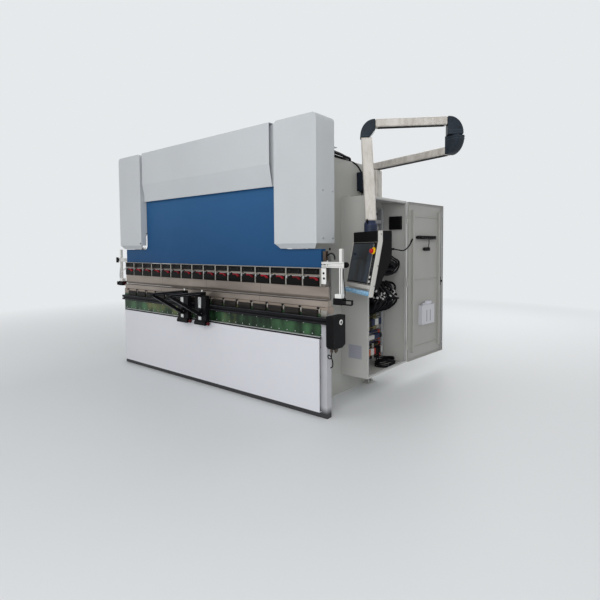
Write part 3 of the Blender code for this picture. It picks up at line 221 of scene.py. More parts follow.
# Sprayed enamel, the finish of the welded steel and of the folded covers. Steel is
# primed and sprayed, so it has a fine orange peel, a cloudy tone and a little dust.
def finish(name, colour, roughness, metallic=0.0, coat=0.0, gloss=0.3):
    """New material of even values. Gives it with its shader and the place on the piece."""
    material = bpy.data.materials.new(name)
    material.use_nodes = True
    shader = material.node_tree.nodes["Principled BSDF"]
    shader.inputs["Base Color"].default_value = colour
    shader.inputs["Roughness"].default_value = roughness
    shader.inputs["Metallic"].default_value = metallic
    shader.inputs["Coat Weight"].default_value = coat
    shader.inputs["Specular IOR Level"].default_value = gloss
    place = Field(material.node_tree.nodes.new("ShaderNodeTexCoord").outputs["Object"])
    return material, shader, place


def enamel(name, code, roughness, cloud=0.06, peel=0.00012, gloss=0.3):
    """Sprayed enamel of one colour, cloudy by a share of it."""
    material, shader, place = finish(name, tint(code), roughness, gloss=gloss)
    clouds = place.noise(1.3, 4.0).share(0.3, 0.7)
    clouds.blend(tint(code, 1 - cloud), tint(code, 1 + cloud)).into(shader, "Base Color")
    scuffs = place.noise(9.0, 6.0).share(0.35, 0.75)
    (scuffs * 0.12 + (roughness - 0.06)).into(shader, "Roughness")
    place.noise(420.0, 2.0).dent(shader, peel)
    return material


def dress(names, material):
    """Gives a material to CAD nodes."""
    for name in names:
        nodes[name].data.materials.clear()
        nodes[name].data.materials.append(material)


frame_paint = enamel("frame_enamel", "a9aaa5", 0.42)
dress(("side_frame_left", "side_frame_right"), frame_paint)
cover_paint = enamel("cover_enamel", "babec1", 0.38, cloud=0.03)
dress(("cylinder_hood_left", "cylinder_hood_right", "top_fascia"), cover_paint)
apron_paint = enamel("apron_enamel", "cfd0d6", 0.34, cloud=0.02)
dress(("apron_cover",), apron_paint)
cabinet_paint = enamel("cabinet_enamel", "b6b6b2", 0.45, cloud=0.04, peel=0.00025)
dress(("cabinet_shell",), cabinet_paint)
ram_paint = enamel("ram_enamel", "25527e", 0.42, cloud=0.10, gloss=0.1)
dress(("ram_plate",), ram_paint)


# Side frames. Each is one 45 mm steel plate, flame-cut to a C with an open throat, and sprayed. A bright
# steel strip lies along the throat's rear edge, which shows lighter than the paint. It stands on two angle
# feet that are bolted to the floor, and a rubber plug closes a tapped hole in the right plate.
def spot(x, y, z):
    """A place: right of the beam's middle, back from the beam's front, up from the floor."""
    return Vector((middle_x + x, front_y + y, z))


def spots(*places):
    """Several places, each measured as for spot."""
    return [spot(*place) for place in places]


def alone(piece):
    """Makes a piece the only selected one, and the active one."""
    bpy.ops.object.select_all(action="DESELECT")
    piece.select_set(True)
    bpy.context.view_layer.objects.active = piece


def block(name, low, high):
    """New box between two places."""
    low, high = Vector(low), Vector(high)
    bpy.ops.object.select_all(action="DESELECT")
    bpy.ops.mesh.primitive_cube_add(size=1, location=(low + high) / 2, scale=high - low)
    made = bpy.context.object
    made.name = made.data.name = name
    bpy.ops.object.transform_apply()
    return made


def pick(piece, kind, test):
    """Opens a piece in edit mode, with just the faces or edges selected that pass a test.

    The test gets the middle of each, and a face's normal or an edge's direction.
    """
    alone(piece)
    bpy.ops.object.mode_set(mode="EDIT")
    bpy.ops.mesh.select_mode(type=kind)
    bpy.ops.mesh.select_all(action="DESELECT")
    cage = bmesh.from_edit_mesh(piece.data)
    if kind == "FACE":
        for face in cage.faces:
            face.select_set(test(face.calc_center_median(), face.normal))
    else:
        for edge in cage.edges:
            start, end = (corner.co for corner in edge.verts)
            if test((start + end) / 2, (end - start).normalized()):
                edge.select_set(True)
    bmesh.update_edit_mesh(piece.data)


def close():
    """Leaves edit mode."""
    bpy.ops.object.mode_set(mode="OBJECT")


def drawn(piece, move, size=1.0, about=None):
    """Extrudes the selected faces by a move, scales them about a place and closes the piece."""
    bpy.ops.mesh.extrude_region_move(TRANSFORM_OT_translate={"value": move})
    if about is not None:
        bpy.ops.transform.resize(value=(size, size, size), center_override=about)
    close()


def recessed(piece, side, rim, move):
    """Moves the face that looks to a side, within a rim."""
    pick(piece, "FACE", lambda middle, normal: normal.dot(Vector(side)) > 0.9)
    bpy.ops.mesh.inset(thickness=rim)
    drawn(piece, move)


def bevelled(piece, width, segments, test):
    """Bevels the edges that pass a test."""
    pick(piece, "EDGE", test)
    bpy.ops.mesh.bevel(offset=width, segments=segments)
    close()


def rounded(piece, width, segments=2, angle=35):
    """Rounds the sharp edges of a piece."""
    alone(piece)
    edge = piece.modifiers.new("round", "BEVEL")
    edge.width = width
    edge.segments = segments
    edge.limit_method = "ANGLE"
    edge.angle_limit = radians(angle)
    bpy.ops.object.modifier_apply(modifier="round")
    return piece


def aimed(piece, place, direction):
    """Moves a piece that was made at the world's middle to a place, its top towards a direction."""
    piece.data.transform(Vector(direction).to_track_quat("Z", "Y").to_matrix().to_4x4())
    piece.data.transform(Matrix.Translation(place))
    return piece


def placed(piece, matrix):
    """Moves a piece by a matrix."""
    piece.data.transform(matrix)
    return piece


def turned(name, rings, place, direction=(0, 0, 1), sides=24):
    """New round piece as from a lathe. A ring is a distance along it, and a radius."""
    bpy.ops.object.select_all(action="DESELECT")
    bpy.ops.mesh.primitive_circle_add(vertices=sides, radius=rings[0][1], fill_type="NGON",
                                      location=(0, 0, rings[0][0]))
    made = bpy.context.object
    made.name = made.data.name = name
    bpy.ops.object.transform_apply()
    bpy.ops.object.mode_set(mode="EDIT")
    bpy.ops.mesh.select_all(action="SELECT")
    for (before, radius), (after, wider) in zip(rings, rings[1:]):
        bpy.ops.mesh.extrude_region_move(TRANSFORM_OT_translate={"value": (0, 0, after - before)})
        bpy.ops.transform.resize(value=(wider / radius,) * 3, center_override=(0, 0, after))
    bpy.ops.mesh.select_all(action="SELECT")
    bpy.ops.mesh.normals_make_consistent(inside=False)
    close()
    return aimed(made, place, direction)


def screw(name, place, direction, radius, height):
    """Cap screw with a hexagon socket, its head standing on a place."""
    head = turned(name, ((0, radius), (height * 0.85, radius), (height, radius * 0.86)),
                  (0, 0, 0), sides=18)
    socket = turned(name + "_socket", ((height * 0.45, radius * 0.48), (height * 1.2, radius * 0.48)),
                    (0, 0, 0), sides=6)
    alone(head)
    cut = head.modifiers.new("socket", "BOOLEAN")
    cut.operation = "DIFFERENCE"
    cut.object = socket
    bpy.ops.object.modifier_apply(modifier="socket")
    discard(socket)
    return aimed(head, place, direction)


def discard(*pieces):
    """Removes pieces that were only needed to make others."""
    for piece in pieces:
        bpy.data.meshes.remove(piece.data)


def copied(piece, step):
    """Copy of a piece with its own mesh, moved by a step."""
    made = piece.copy()
    made.data = piece.data.copy()
    made.data.transform(Matrix.Translation(step))
    scene.collection.objects.link(made)
    return made


def joined(name, parts):
    """Joins pieces to one piece, which keeps the material of each."""
    alone(parts[0])
    for part in parts:
        part.select_set(True)
    bpy.ops.object.join()
    parts[0].name = parts[0].data.name = name
    return parts[0]


def spread(name, piece, steps):
    """One piece that repeats a first one at each of the steps from it."""
    return joined(name, [piece] + [copied(piece, step) for step in steps])


def corners(across, along):
    """Steps from one corner of a rectangle to the other three."""
    return [across, along, Vector(across) + Vector(along)]


def painted(piece, material):
    """Gives a piece one material all over."""
    piece.data.materials.clear()
    piece.data.materials.append(material)
    return piece


def fit(piece, body, material=None, angle=32):
    """Smooths the round faces of a finished piece and fixes it to its body."""
    if material is not None:
        painted(piece, material)
    alone(piece)
    bpy.ops.object.shade_smooth_by_angle(angle=radians(angle))
    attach(piece, body)
    return piece


def slab(name, low, high, width, body, material, segments=2):
    """New box between two places, its edges rounded, fixed to its body."""
    return fit(rounded(block(name, low, high), width, segments), body, material)


def screws(name, place, direction, radius, height, steps, body, material):
    """Like screws in one piece: the first at a place, one more at each step from it."""
    return fit(spread(name, screw(name, place, direction, radius, height), steps), body, material)


def metal(name, code, roughness, grain=(1, 1, 1), spread_by=0.12, metallic=0.9):
    """Bare or plated metal with fine lines, drawn out along the axis whose grain is small."""
    material, shader, place = finish(name, tint(code), roughness, metallic=metallic)
    lines = place.stretched(*grain).noise(140.0, 4.0).share(0.3, 0.7)
    stains = place.noise(2.6, 5.0).share(0.35, 0.7)
    tone = lines * 0.5 + stains * 0.5
    tone.blend(tint(code, 1 - spread_by), tint(code, 1 + spread_by)).into(shader, "Base Color")
    (tone * 0.18 + (roughness - 0.09)).into(shader, "Roughness")
    lines.dent(shader, 0.00004)
    return material


milled_steel = metal("milled_steel", "a9a6a2", 0.40, grain=(0.03, 1, 1))
upright_steel = metal("upright_milled_steel", "b9babb", 0.38, grain=(1, 1, 0.03))
screw_steel = metal("zinc_plated_steel", "a8a9aa", 0.34)
black_screw = metal("blackened_screw", "1c1c1e", 0.42, metallic=0.4)
frame_low, frame_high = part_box("side_frame_right")
left_frame_low, left_frame_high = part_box("side_frame_left")
THROAT_REAR = 0.520
THROAT_STRIP_LOW = 0.875
THROAT_STRIP_HIGH = 1.38
STRIP_SHEET = 0.0015
FOOT_REACH = 0.090
FOOT_PLATE = 0.014
FOOT_LENGTH = 0.140
for side, inner, outer in (("left", left_frame_high.x, left_frame_low.x),
                           ("right", frame_low.x, frame_high.x)):
    first, last = sorted((inner, outer))
    rear = spot(0, THROAT_REAR, 0).y
    slab("throat_edge_" + side, (first + 0.002, rear - STRIP_SHEET, THROAT_STRIP_LOW),
         (last - 0.002, rear + STRIP_SHEET, THROAT_STRIP_HIGH), 0.0006, "frame", upright_steel)
    away = 1 if side == "right" else -1
    feet = []
    for index, rise in enumerate((frame_low.y + 0.05, frame_high.y - 0.05 - FOOT_LENGTH)):
        reach = outer + away * FOOT_REACH
        low_x, high_x = sorted((outer, reach))
        sole = block("foot", (low_x, rise, 0.0005), (high_x, rise + FOOT_LENGTH, FOOT_PLATE))
        low_x, high_x = sorted((outer, outer + away * FOOT_PLATE))
        web = block("web", (low_x, rise, FOOT_PLATE), (high_x, rise + FOOT_LENGTH, 0.11))
        feet += [painted(rounded(sole, 0.002), frame_paint), painted(rounded(web, 0.002), frame_paint)]
        for along in (0.035, FOOT_LENGTH - 0.035):
            stud = turned("stud", ((0, 0.016), (0.003, 0.016), (0.003, 0.013), (0.014, 0.013),
                                   (0.014, 0.007), (0.03, 0.006)),
                          (outer + away * 0.06, rise + along, FOOT_PLATE), sides=6)
            bolt = screw("bolt", (outer + away * FOOT_PLATE, rise + along, 0.075), (away, 0, 0), 0.011,
                         0.010)
            feet += [painted(stud, screw_steel), painted(bolt, black_screw)]
    fit(joined("floor_feet_" + side, feet), "frame")

plug = turned("rubber_plug", ((0, 0.013), (0.004, 0.013), (0.007, 0.010), (0.007, 0.005), (0.004, 0.004)),
              (frame_high.x, spot(0, 0.493, 0).y, 1.501), (1, 0, 0))


def moulded(name, code, roughness, grain=900.0, depth=0.00008, cloud=0.10):
    """Moulded plastic or rubber: one colour with a fine grain and a few worn patches."""
    material, shader, place = finish(name, tint(code), roughness, gloss=0.10)
    worn = place.noise(6.0, 5.0).share(0.4, 0.75)
    worn.blend(tint(code, 1 - cloud), tint(code, 1 + cloud * 1.5)).into(shader, "Base Color")
    (worn * 0.14 + (roughness - 0.07)).into(shader, "Roughness")
    place.noise(grain, 2.0).dent(shader, depth)
    return material


black_plastic = moulded("black_plastic", "0c0c0e", 0.55)
rubber = moulded("black_rubber", "101011", 0.68, cloud=0.2)
fit(plug, "frame", rubber)


# Hoses over the right frame. Two oil hoses and two signal leads come up behind the hood,
# cross the plate's top edge side by side and go down inside it to the tank.
def cable(name, points, radius, fine=3):
    """New cable or hose: a round section along a smooth line through the places."""
    line = bpy.data.curves.new(name, "CURVE")
    line.dimensions = "3D"
    line.bevel_depth = radius
    line.bevel_resolution = fine
    line.use_fill_caps = True
    line.resolution_u = 8
    run = line.splines.new("BEZIER")
    run.bezier_points.add(len(points) - 1)
    for knot, point in zip(run.bezier_points, points):
        knot.co = point
        knot.handle_left_type = knot.handle_right_type = "AUTO"
    made = bpy.data.objects.new(name, line)
    scene.collection.objects.link(made)
    alone(made)
    bpy.ops.object.convert(target="MESH")
    bpy.context.object.data.name = name
    return bpy.context.object


def jacket(name, code, roughness=0.55):
    """Cable or hose jacket with a faint lay of its strands."""
    material, shader, place = finish(name, tint(code), roughness, gloss=0.10)
    marks = place.noise(60.0, 4.0).share(0.35, 0.7)
    marks.blend(tint(code, 0.8), tint(code, 1.35)).into(shader, "Base Color")
    (marks * 0.15 + (roughness - 0.06)).into(shader, "Roughness")
    place.noise(700.0, 1.0).dent(shader, 0.0001)
    return material


black_jacket = jacket("black_jacket", "0e0e11")
grey_jacket = jacket("grey_jacket", "6d6e70")
OIL_HOSE = 0.013
frame_top = frame_high.z
for index, (rise, aside) in enumerate(((0.062, 0.0), (0.044, 0.022), (0.020, -0.014), (0.016, 0.030))):
    fit(cable("top_hose_%d" % (index + 1),
              spots((1.30 + aside, 0.22, frame_top + 0.02), (1.31 + aside, 0.40, frame_top + rise + 0.02),
                    (1.325 + aside, 0.62, frame_top + rise), (1.330 + aside, 0.78, frame_top + rise * 0.7),
                    (1.322 + aside, 0.90 - 0.03 * index, frame_top + 0.016),
                    (1.28 + aside * 0.4, 0.93 - 0.03 * index, frame_top - 0.02),
                    (1.262, 0.90 - 0.04 * index, frame_top - 0.16)), OIL_HOSE if index < 2 else 0.007),
        "frame", black_jacket)


# Cylinder hoods. Folded sheet steel over each cylinder, sprayed light grey, with rounded
# corners and a bevelled skirt. Each hangs on screws in its outer side, and a keyhole plug
# closes the left one's lower front corner.
for side, away in (("left", -1), ("right", 1)):
    hood_low, hood_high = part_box("cylinder_hood_" + side)
    outer = hood_high.x if away > 0 else hood_low.x
    screws("hood_screws_" + side, (outer, spot(0, 0.025, 0).y, 2.02), (away, 0, 0), 0.008, 0.004,
           [(0, 0, -0.42), (0, 0.15, -0.42), (0, 0.15, 0)], "frame", screw_steel)
hood_low, hood_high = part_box("cylinder_hood_left")
fit(screw("hood_keyhole", spot(-1.135, hood_low.y - front_y, 1.580), (0, -1, 0), 0.009, 0.004), "frame",
    black_screw)


# Front beam band. The beam is a welded plate in dark green enamel, cloudy, with painted reflections over the
# band above the apron: lighter green streaks and yellowish patches. Below the apron its foot is painted near
# black as painted shade. A row of plated screws holds the rail's brackets, a second row the sill.
rail_low, rail_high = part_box("front_rail")
apron_low, apron_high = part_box("apron_cover")
beam_paint, shader, place = finish("beam_green", tint("2f4c38"), 0.24, gloss=0.2)
# Painted reflections: streaks that run from deep to lighter green, and yellowish patches.
tone_and_reflection_streaks = place.stretched(1, 1, 0.35).noise(7.0, 4.0).share(0.40, 0.66)
reflection_patches = place.stretched(1, 1, 0.7).noise(2.3, 3.0).share(0.56, 0.70)
deep = tone_and_reflection_streaks.blend(tint("17291a"), tint("3f6544"))
green = reflection_patches.blend(deep, tint("74774a"))
cloudy = place.noise(2.0, 4.0).share(0.3, 0.7)
grey = cloudy.blend(tint("a3a3a8"), tint("b4b4b9"))
across = place.along("X") - middle_x
over_apron = (across > beam_low.x - middle_x - 0.01) * (across < apron_high.x - middle_x)
band = (place.along("Z") > 0.70) * over_apron
banded = band.blend(grey, green)
# Painted shade: near the floor, under the apron, the beam goes near black.
floor_shade_share = place.along("Z").share(0.10, 0.04)
floor_shade_share.blend(banded, tint("3a3a3c")).into(shader, "Base Color")
place.noise(420.0, 2.0).dent(shader, 0.00012)
dress(("lower_beam",), beam_paint)

SCREW_PITCH = 0.1
for name, rise, count, gap in (("rail_screws", rail_low.z - 0.012, 17, 0.2),
                               ("sill_screws", 0.748, 33, SCREW_PITCH)):
    head = turned("head", ((0, 0.006), (0.002, 0.006), (0.0035, 0.0035)), spot(-1.6, 0, rise), (0, -1, 0),
                  12)
    steps = [(gap * index, 0, 0) for index in range(1, count)]
    fit(spread(name, head, steps), "frame", screw_steel)


# Sill. A folded strip of bare aluminium between the beam and the apron, over a black strip that is painted
# shade in the gap above the apron's top edge.
aluminium = metal("anodised_aluminium", "b4b6b7", 0.38, grain=(0.05, 1, 1), spread_by=0.05, metallic=0.6)
upright_aluminium = metal("upright_aluminium", "d2d3d2", 0.36, grain=(1, 1, 0.05), spread_by=0.05)
sill = block("sill", (apron_low.x, beam_low.y - 0.024, 0.7255), (apron_high.x, beam_low.y, 0.7315))
bevelled(sill, 0.003, 3,
         lambda middle, along: abs(along.x) > 0.9 and middle.y < beam_low.y - 0.02 and middle.z > 0.73)
fit(sill, "frame", aluminium)
# Painted shade: a black strip in the gap between the sill and the apron.
slab("sill_gap_shade", (apron_low.x, beam_low.y - 0.030, apron_high.z + 0.0005),
     (apron_high.x, beam_low.y, 0.7253), 0.003, "frame", rubber)


# Apron. A light steel cover that hooks over the beam's front. Screws through its side returns hold it. Under
# it, down to the floor, the beam is painted near black as painted shade.
for side, away, edge in (("left", -1, apron_low.x), ("right", 1, apron_high.x)):
    screws("apron_screws_" + side, (edge, apron_low.y + 0.016, 0.10), (away, 0, 0), 0.006, 0.003,
           [(0, 0, 0.27), (0, 0, 0.54)], "frame", screw_steel)


# Rail. A blackened steel section along the beam on which the sheet supports run. It is planed, with two
# grooves for the carriages' keys. Two light strips along its front edges are painted highlight over a little
# real wear.
def blackened(name, code, worn_code):
    """Blackened steel whose high places are rubbed a little brighter."""
    material, shader, place = finish(name, tint(code), 0.42, gloss=0.10)
    rubbed = place.stretched(0.06, 1, 1).noise(90.0, 5.0).share(0.45, 0.8)
    rubbed.blend(tint(code), tint(worn_code)).into(shader, "Base Color")
    (rubbed * 0.2 + 0.34).into(shader, "Roughness")
    place.noise(260.0, 3.0).dent(shader, 0.00008)
    return material


rail_black = blackened("blackened_steel", "0f0f12", "202024")
dress(("front_rail",), rail_black)
# Painted highlight with some wear: light grey steel strips laid along lit edges.
edge_highlight_wear = blackened("edge_highlight_wear_steel", "3c3d41", "66676a")
for index, (rise, high, proud) in enumerate(((rail_high.z - 0.0035, 0.0035, 0.0012),
                                             (rail_low.z + 0.010, 0.0022, 0.001))):
    slab("rail_lip_%d" % (index + 1), (rail_low.x, rail_low.y - proud, rise),
         (rail_high.x, rail_low.y + 0.004, rise + high), 0.0008, "frame", edge_highlight_wear, 1)


# Wedge row. Between the rail and the die holder stand black clamping blocks. Beside each
# gap between two of them a slanted screw and a bright wedge draw the die holder down.
WEDGE_COUNT = 16
WEDGE_FIRST_X = -1.570
WEDGE_PITCH = 0.2093
WEDGE_GAP = 0.030
BLOCK_TOP_Z = 0.966
BLOCK_FRONT = 0.016
holder_low, holder_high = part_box("die_holder")
black_block = blackened("black_clamp_block", "171514", "33302d")
step = block("wedge_block", spot(WEDGE_FIRST_X + WEDGE_GAP, -BLOCK_FRONT, rail_high.z + 0.0005),
             (spot(WEDGE_FIRST_X + WEDGE_PITCH - 0.008, 0, 0).x, holder_low.y, BLOCK_TOP_Z))
bevelled(step, 0.007, 2,
         lambda middle, along: abs(along.x) > 0.9 and middle.y < holder_low.y - 0.01 and middle.z > 0.95)
wedge_steel = metal("wedge_steel", "8d8a84", 0.42, metallic=0.5)
wedge = block("wedge", spot(WEDGE_FIRST_X + 0.006, -0.006, 0.941),
              spot(WEDGE_FIRST_X + 0.020, 0.0036, 0.967))
pick(wedge, "FACE", lambda middle, normal: normal.z > 0.9)
drawn(wedge, (0.002, 0.003, 0.010), 0.6, spot(WEDGE_FIRST_X + 0.013, 0, 0.977))
slanted = screw("slanted_screw", spot(WEDGE_FIRST_X - 0.004, 0.004, 0.979), (-0.35, -0.85, 0.45), 0.010,
                0.014)
for index in range(WEDGE_COUNT):
    along = Vector((WEDGE_PITCH * index, 0, 0))
    number = "_%02d" % (index + 1)
    if index < WEDGE_COUNT - 1:
        fit(copied(step, along), "frame", black_block).name = "clamping_block" + number
    fit(copied(wedge, along), "frame", wedge_steel).name = "holder_wedge" + number
    fit(copied(slanted, along), "frame", black_screw).name = "wedge_screw" + number
discard(step, wedge, slanted)
slab("holder_end_piece", spot(1.602, -0.010, rail_high.z + 0.0005),
     (holder_high.x, holder_low.y, BLOCK_TOP_Z), 0.002, "frame", wedge_steel)


# Die holder, die and punch. Ground tool steel, left bare and oiled. The die and the punch come in lengths of
# 835 mm, so fine joints show between them. A dark strip along the die's mouth is painted shade in the gap
# under the punch, and a dark strip also marks the key under the die.
def ground(name, code, joints, roughness=0.36):
    """Ground steel with cross joints at a pitch in metres, or none."""
    material = metal(name, code, roughness, grain=(0.02, 1, 1), spread_by=0.10, metallic=0.75)
    shader = material.node_tree.nodes["Principled BSDF"]
    place = Field(material.node_tree.nodes.new("ShaderNodeTexCoord").outputs["Object"])
    oil = place.stretched(0.5, 1, 1.6).noise(3.0, 5.0).share(0.38, 0.68)
    tone = oil.blend(tint(code, 0.74), tint(code, 1.06))
    if joints:
        across = place.along("X") - middle_x
        to_joint = across.math("PINGPONG", across, joints / 2)
        tone = (to_joint < 0.0012).blend(tone, tint("2b2826"))
    tone.into(shader, "Base Color")
    return material


dress(("die_holder",), ground("holder_steel", "988b80", 0))
dress(("bottom_die", "punch"), ground("ground_tool_steel", "9b9087", 0.835))
die_low, die_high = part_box("bottom_die")
# Painted shade: a dark strip over the die's top, in the gap under the punch.
mouth_shade = block("die_mouth_shade", (die_low.x + 0.0005, die_low.y - 0.0004, die_high.z - 0.0060),
              (die_high.x - 0.0005, die_low.y + 0.010, die_high.z + 0.0004))
bevelled(mouth_shade, 0.002, 2,
         lambda middle, along: abs(along.x) > 0.9 and middle.z > die_high.z and middle.y < die_low.y + 0.002)
fit(mouth_shade, "frame", black_block)
fit(block("holder_key", spot(-1.64, 0.0015, 0.9895), (spot(1.64, 0, 0).x, holder_low.y + 0.001, 0.9915)),
    "frame", black_block)


# Ram. One plate in blue enamel, darker towards its lower edge. At its right end are a
# machined stop block with two bent pressure lines, and a bare tag plate on two screws.
ram_low, ram_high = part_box("ram_plate")
shader = ram_paint.node_tree.nodes["Principled BSDF"]
place = Field(ram_paint.node_tree.nodes.new("ShaderNodeTexCoord").outputs["Object"])
fade = place.along("Z").share(2.1, 1.34) + place.noise(1.1, 4.0) * 0.5 - 0.25
fade.blend(tint("2a5884"), tint("1d466f")).into(shader, "Base Color")
stop_low = spot(1.610, 0.012, 1.403)
stop = block("ram_stop_block", stop_low, stop_low + Vector((0.032, 0.038, 0.084)))
recessed(stop, (1, 0, 0), 0.008, (-0.004, 0, 0))
stem = block("stop_stem", stop_low + Vector((0.004, 0.008, -0.067)),
             stop_low + Vector((0.024, 0.030, 0.004)))
stop = joined("ram_stop_block", [stop, stem])
rounded(stop, 0.0015)
brown_steel = metal("browned_steel", "4d423b", 0.45, metallic=0.5)
fit(stop, "ram", brown_steel)
for index, swing in enumerate((0.0, 0.014)):
    fit(cable("pressure_line_%d" % (index + 1),
              spots((1.632, 0.026 + swing, 1.432), (1.650, 0.028 + swing, 1.448),
                    (1.668, 0.034 + swing, 1.462 + swing / 2), (1.688, 0.044 + swing, 1.462 + swing / 2),
                    (1.702, 0.052 + swing, 1.446), (1.708, 0.052 + swing, 1.412)),
              0.0045 if index else 0.006), "ram", grey_jacket if index else black_jacket)

white_enamel = enamel("white_enamel", "dcdcda", 0.40, cloud=0.03)
tag_low = spot(1.610, -0.012, 1.198)
tag = block("end_tag_plate", tag_low, tag_low + Vector((0.050, 0.004, 0.138)))
tag_back = block("end_tag_back", tag_low + Vector((0.010, 0.004, 0.004)),
                 tag_low + Vector((0.040, 0.020, 0.134)))
tag = joined("end_tag_plate", [tag, tag_back])
fit(rounded(tag, 0.001), "ram", white_enamel)
screws("end_tag_screws", tag_low + Vector((0.030, 0, 0.050)), (0, -1, 0), 0.010, 0.004,
       [(-0.004, 0, 0.045)], "ram", black_screw)


# Quick clamps. Sixteen sets hang under the ram on a ground steel bar. In each a black
# wedge block is bolted over a black jaw, and a red cam lever pulls the jaw up to the tool
# against a bright spring clip.
CLAMP_PITCH = 0.2
CLAMP_COUNT = 16
CLAMP_WIDTH = 0.176
DIVIDER = 0.015
bar_low, bar_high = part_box("upper_clamps")
bar_front = spot(0, 0.006, 0).y
clamp_bar = block("clamp_bar", (bar_low.x, bar_front, bar_low.z + 0.0003),
                  bar_high - Vector((0, 0, 0.0003)))
recessed(clamp_bar, (0, 0, -1), 0.006, (0, 0, 0.004))
rounded(clamp_bar, 0.002)
fit(clamp_bar, "ram", ground("clamp_bar_steel", "928a82", 0))
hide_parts("upper_clamps")

clamp_black = blackened("clamp_black", "060606", "110e0c")
lever_red = moulded("lever_red", "7f1720", 0.42, cloud=0.5)
clip_steel = metal("spring_steel", "b9bab9", 0.34, metallic=0.7)
first_x = middle_x - CLAMP_PITCH * (CLAMP_COUNT - 1) / 2


def clamp_place(x, depth, z):
    """A place on the first clamp: beside its middle, out from the bar, up from the floor."""
    return Vector((first_x + x, bar_front - depth, z))


half = CLAMP_WIDTH / 2
pad = block("pad", clamp_place(-half, 0.020, 1.279), clamp_place(half, 0, 1.331))
recessed(pad, (0, -1, 0), 0.006, (0, 0.003, 0))
painted(rounded(pad, 0.0015), clamp_black)
pad_screws = []
for x in (-0.055, 0.055):
    pad_screws.append(painted(screw("pad_screw", clamp_place(x, 0.017, 1.305), (0, -1, 0), 0.009, 0.005),
                              black_screw))

jaw = block("jaw", clamp_place(-half + 0.002, 0.026, 1.1725), clamp_place(half - 0.002, 0, 1.258))
bevelled(jaw, 0.030, 1, lambda middle, along: abs(along.y) > 0.9 and middle.z > 1.25 and middle.x < first_x)
bevelled(jaw, 0.016, 1, lambda middle, along: abs(along.y) > 0.9 and middle.z > 1.25 and middle.x > first_x)
bevelled(jaw, 0.008, 1,
         lambda middle, along: abs(along.x) > 0.9 and middle.z < 1.18 and middle.y < bar_front - 0.01)
painted(rounded(jaw, 0.0015, 1), clamp_black)
cam = turned("cam", ((0, 0.015), (0.008, 0.015), (0.010, 0.012), (0.010, 0.006), (0.006, 0.006)),
             clamp_place(-0.030, 0.022, 1.252), (0, -1, 0), 20)
painted(cam, clamp_black)

clip = block("clip", clamp_place(-half - 0.002, 0.028, 1.2600), clamp_place(0.072, 0.010, 1.2635))
pick(clip, "FACE", lambda middle, normal: normal.x < -0.9)
drawn(clip, (-0.004, 0, -0.020))
pick(clip, "FACE", lambda middle, normal: normal.x > 0.9)
drawn(clip, (0.012, 0, -0.005))
painted(rounded(clip, 0.0008, 1), clip_steel)

lever = block("lever", clamp_place(0.006, 0.040, 1.245), clamp_place(0.034, 0.024, 1.258))
pick(lever, "FACE", lambda middle, normal: normal.x > 0.9)
drawn(lever, (0.022, -0.004, -0.003), 1.35, clamp_place(0.056, 0.036, 1.248))
pick(lever, "FACE", lambda middle, normal: normal.x > 0.9)
drawn(lever, (0.022, 0, -0.012), 1.25, clamp_place(0.078, 0.036, 1.236))
pick(lever, "FACE", lambda middle, normal: normal.x > 0.7)
drawn(lever, (0.006, 0, -0.004), 0.6, clamp_place(0.084, 0.036, 1.235))
painted(rounded(lever, 0.004, 3, 20), lever_red)
hub = turned("hub", ((0, 0.009), (0.018, 0.009), (0.020, 0.006)), clamp_place(0.006, 0.024, 1.251),
             (0, -1, 0), 20)
painted(hub, lever_red)

divider_low = clamp_place(CLAMP_PITCH / 2 - DIVIDER / 2, 0.021, 1.1745)
divider = block("divider", divider_low, (divider_low.x + DIVIDER, bar_front, 1.3315))
painted(rounded(divider, 0.002, 1), wedge_steel)
clamp = joined("clamp", [pad, jaw, cam, clip, lever, hub, divider] + pad_screws)
for index in range(CLAMP_COUNT):
    set_piece = copied(clamp, (CLAMP_PITCH * index, 0, 0))
    set_piece.name = set_piece.data.name = "quick_clamp_%02d" % (index + 1)
    fit(set_piece, "ram")
discard(clamp)
slab("clamp_top_strip", (bar_low.x, bar_front - 0.004, 1.3325), (bar_high.x, bar_front + 0.001, 1.3385),
     0.0008, "ram", milled_steel, 1)
# Painted highlights: thin white strips on the tops of the fourth and fifth clamps.
for index in (3, 4):
    slab("bright_shim_%d" % (index - 2), clamp_place(CLAMP_PITCH * index - 0.080, 0.0215, 1.3315),
         clamp_place(CLAMP_PITCH * index + 0.080, 0.002, 1.3345), 0.0006, "ram", white_enamel, 1)


# Cylinders. Honed steel barrels behind the hoods, with a turned gland ring each. The
# chromed rods carry the ram on bolted flanges and show under the hoods' skirts.
chrome = metal("hard_chrome", "d4d6d8", 0.16, grain=(1, 1, 0.05), spread_by=0.03, metallic=1.0)
barrel_paint = enamel("barrel_enamel", "3b3d40", 0.40)
dress(("piston_rod_left", "piston_rod_right"), chrome)
dress(("cylinder_left", "cylinder_right"), barrel_paint)
for side in ("left", "right"):
    barrel_low, barrel_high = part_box("cylinder_" + side)
    middle = (barrel_low + barrel_high) / 2
    fit(turned("cylinder_gland_" + side,
               ((0, 0.075), (0.006, 0.080), (0.017, 0.080), (0.017, 0.068), (0.022, 0.064)),
               (middle.x, middle.y - 0.014, barrel_low.z), (0, 0, -1), 36), "frame", brown_steel)
    fit(turned("rod_flange_" + side, ((0, 0.066), (0.014, 0.066), (0.016, 0.062)),
               (middle.x, spot(0, 0.041, 0).y, 1.5052), (0, 0, 1), 36), "ram", milled_steel)


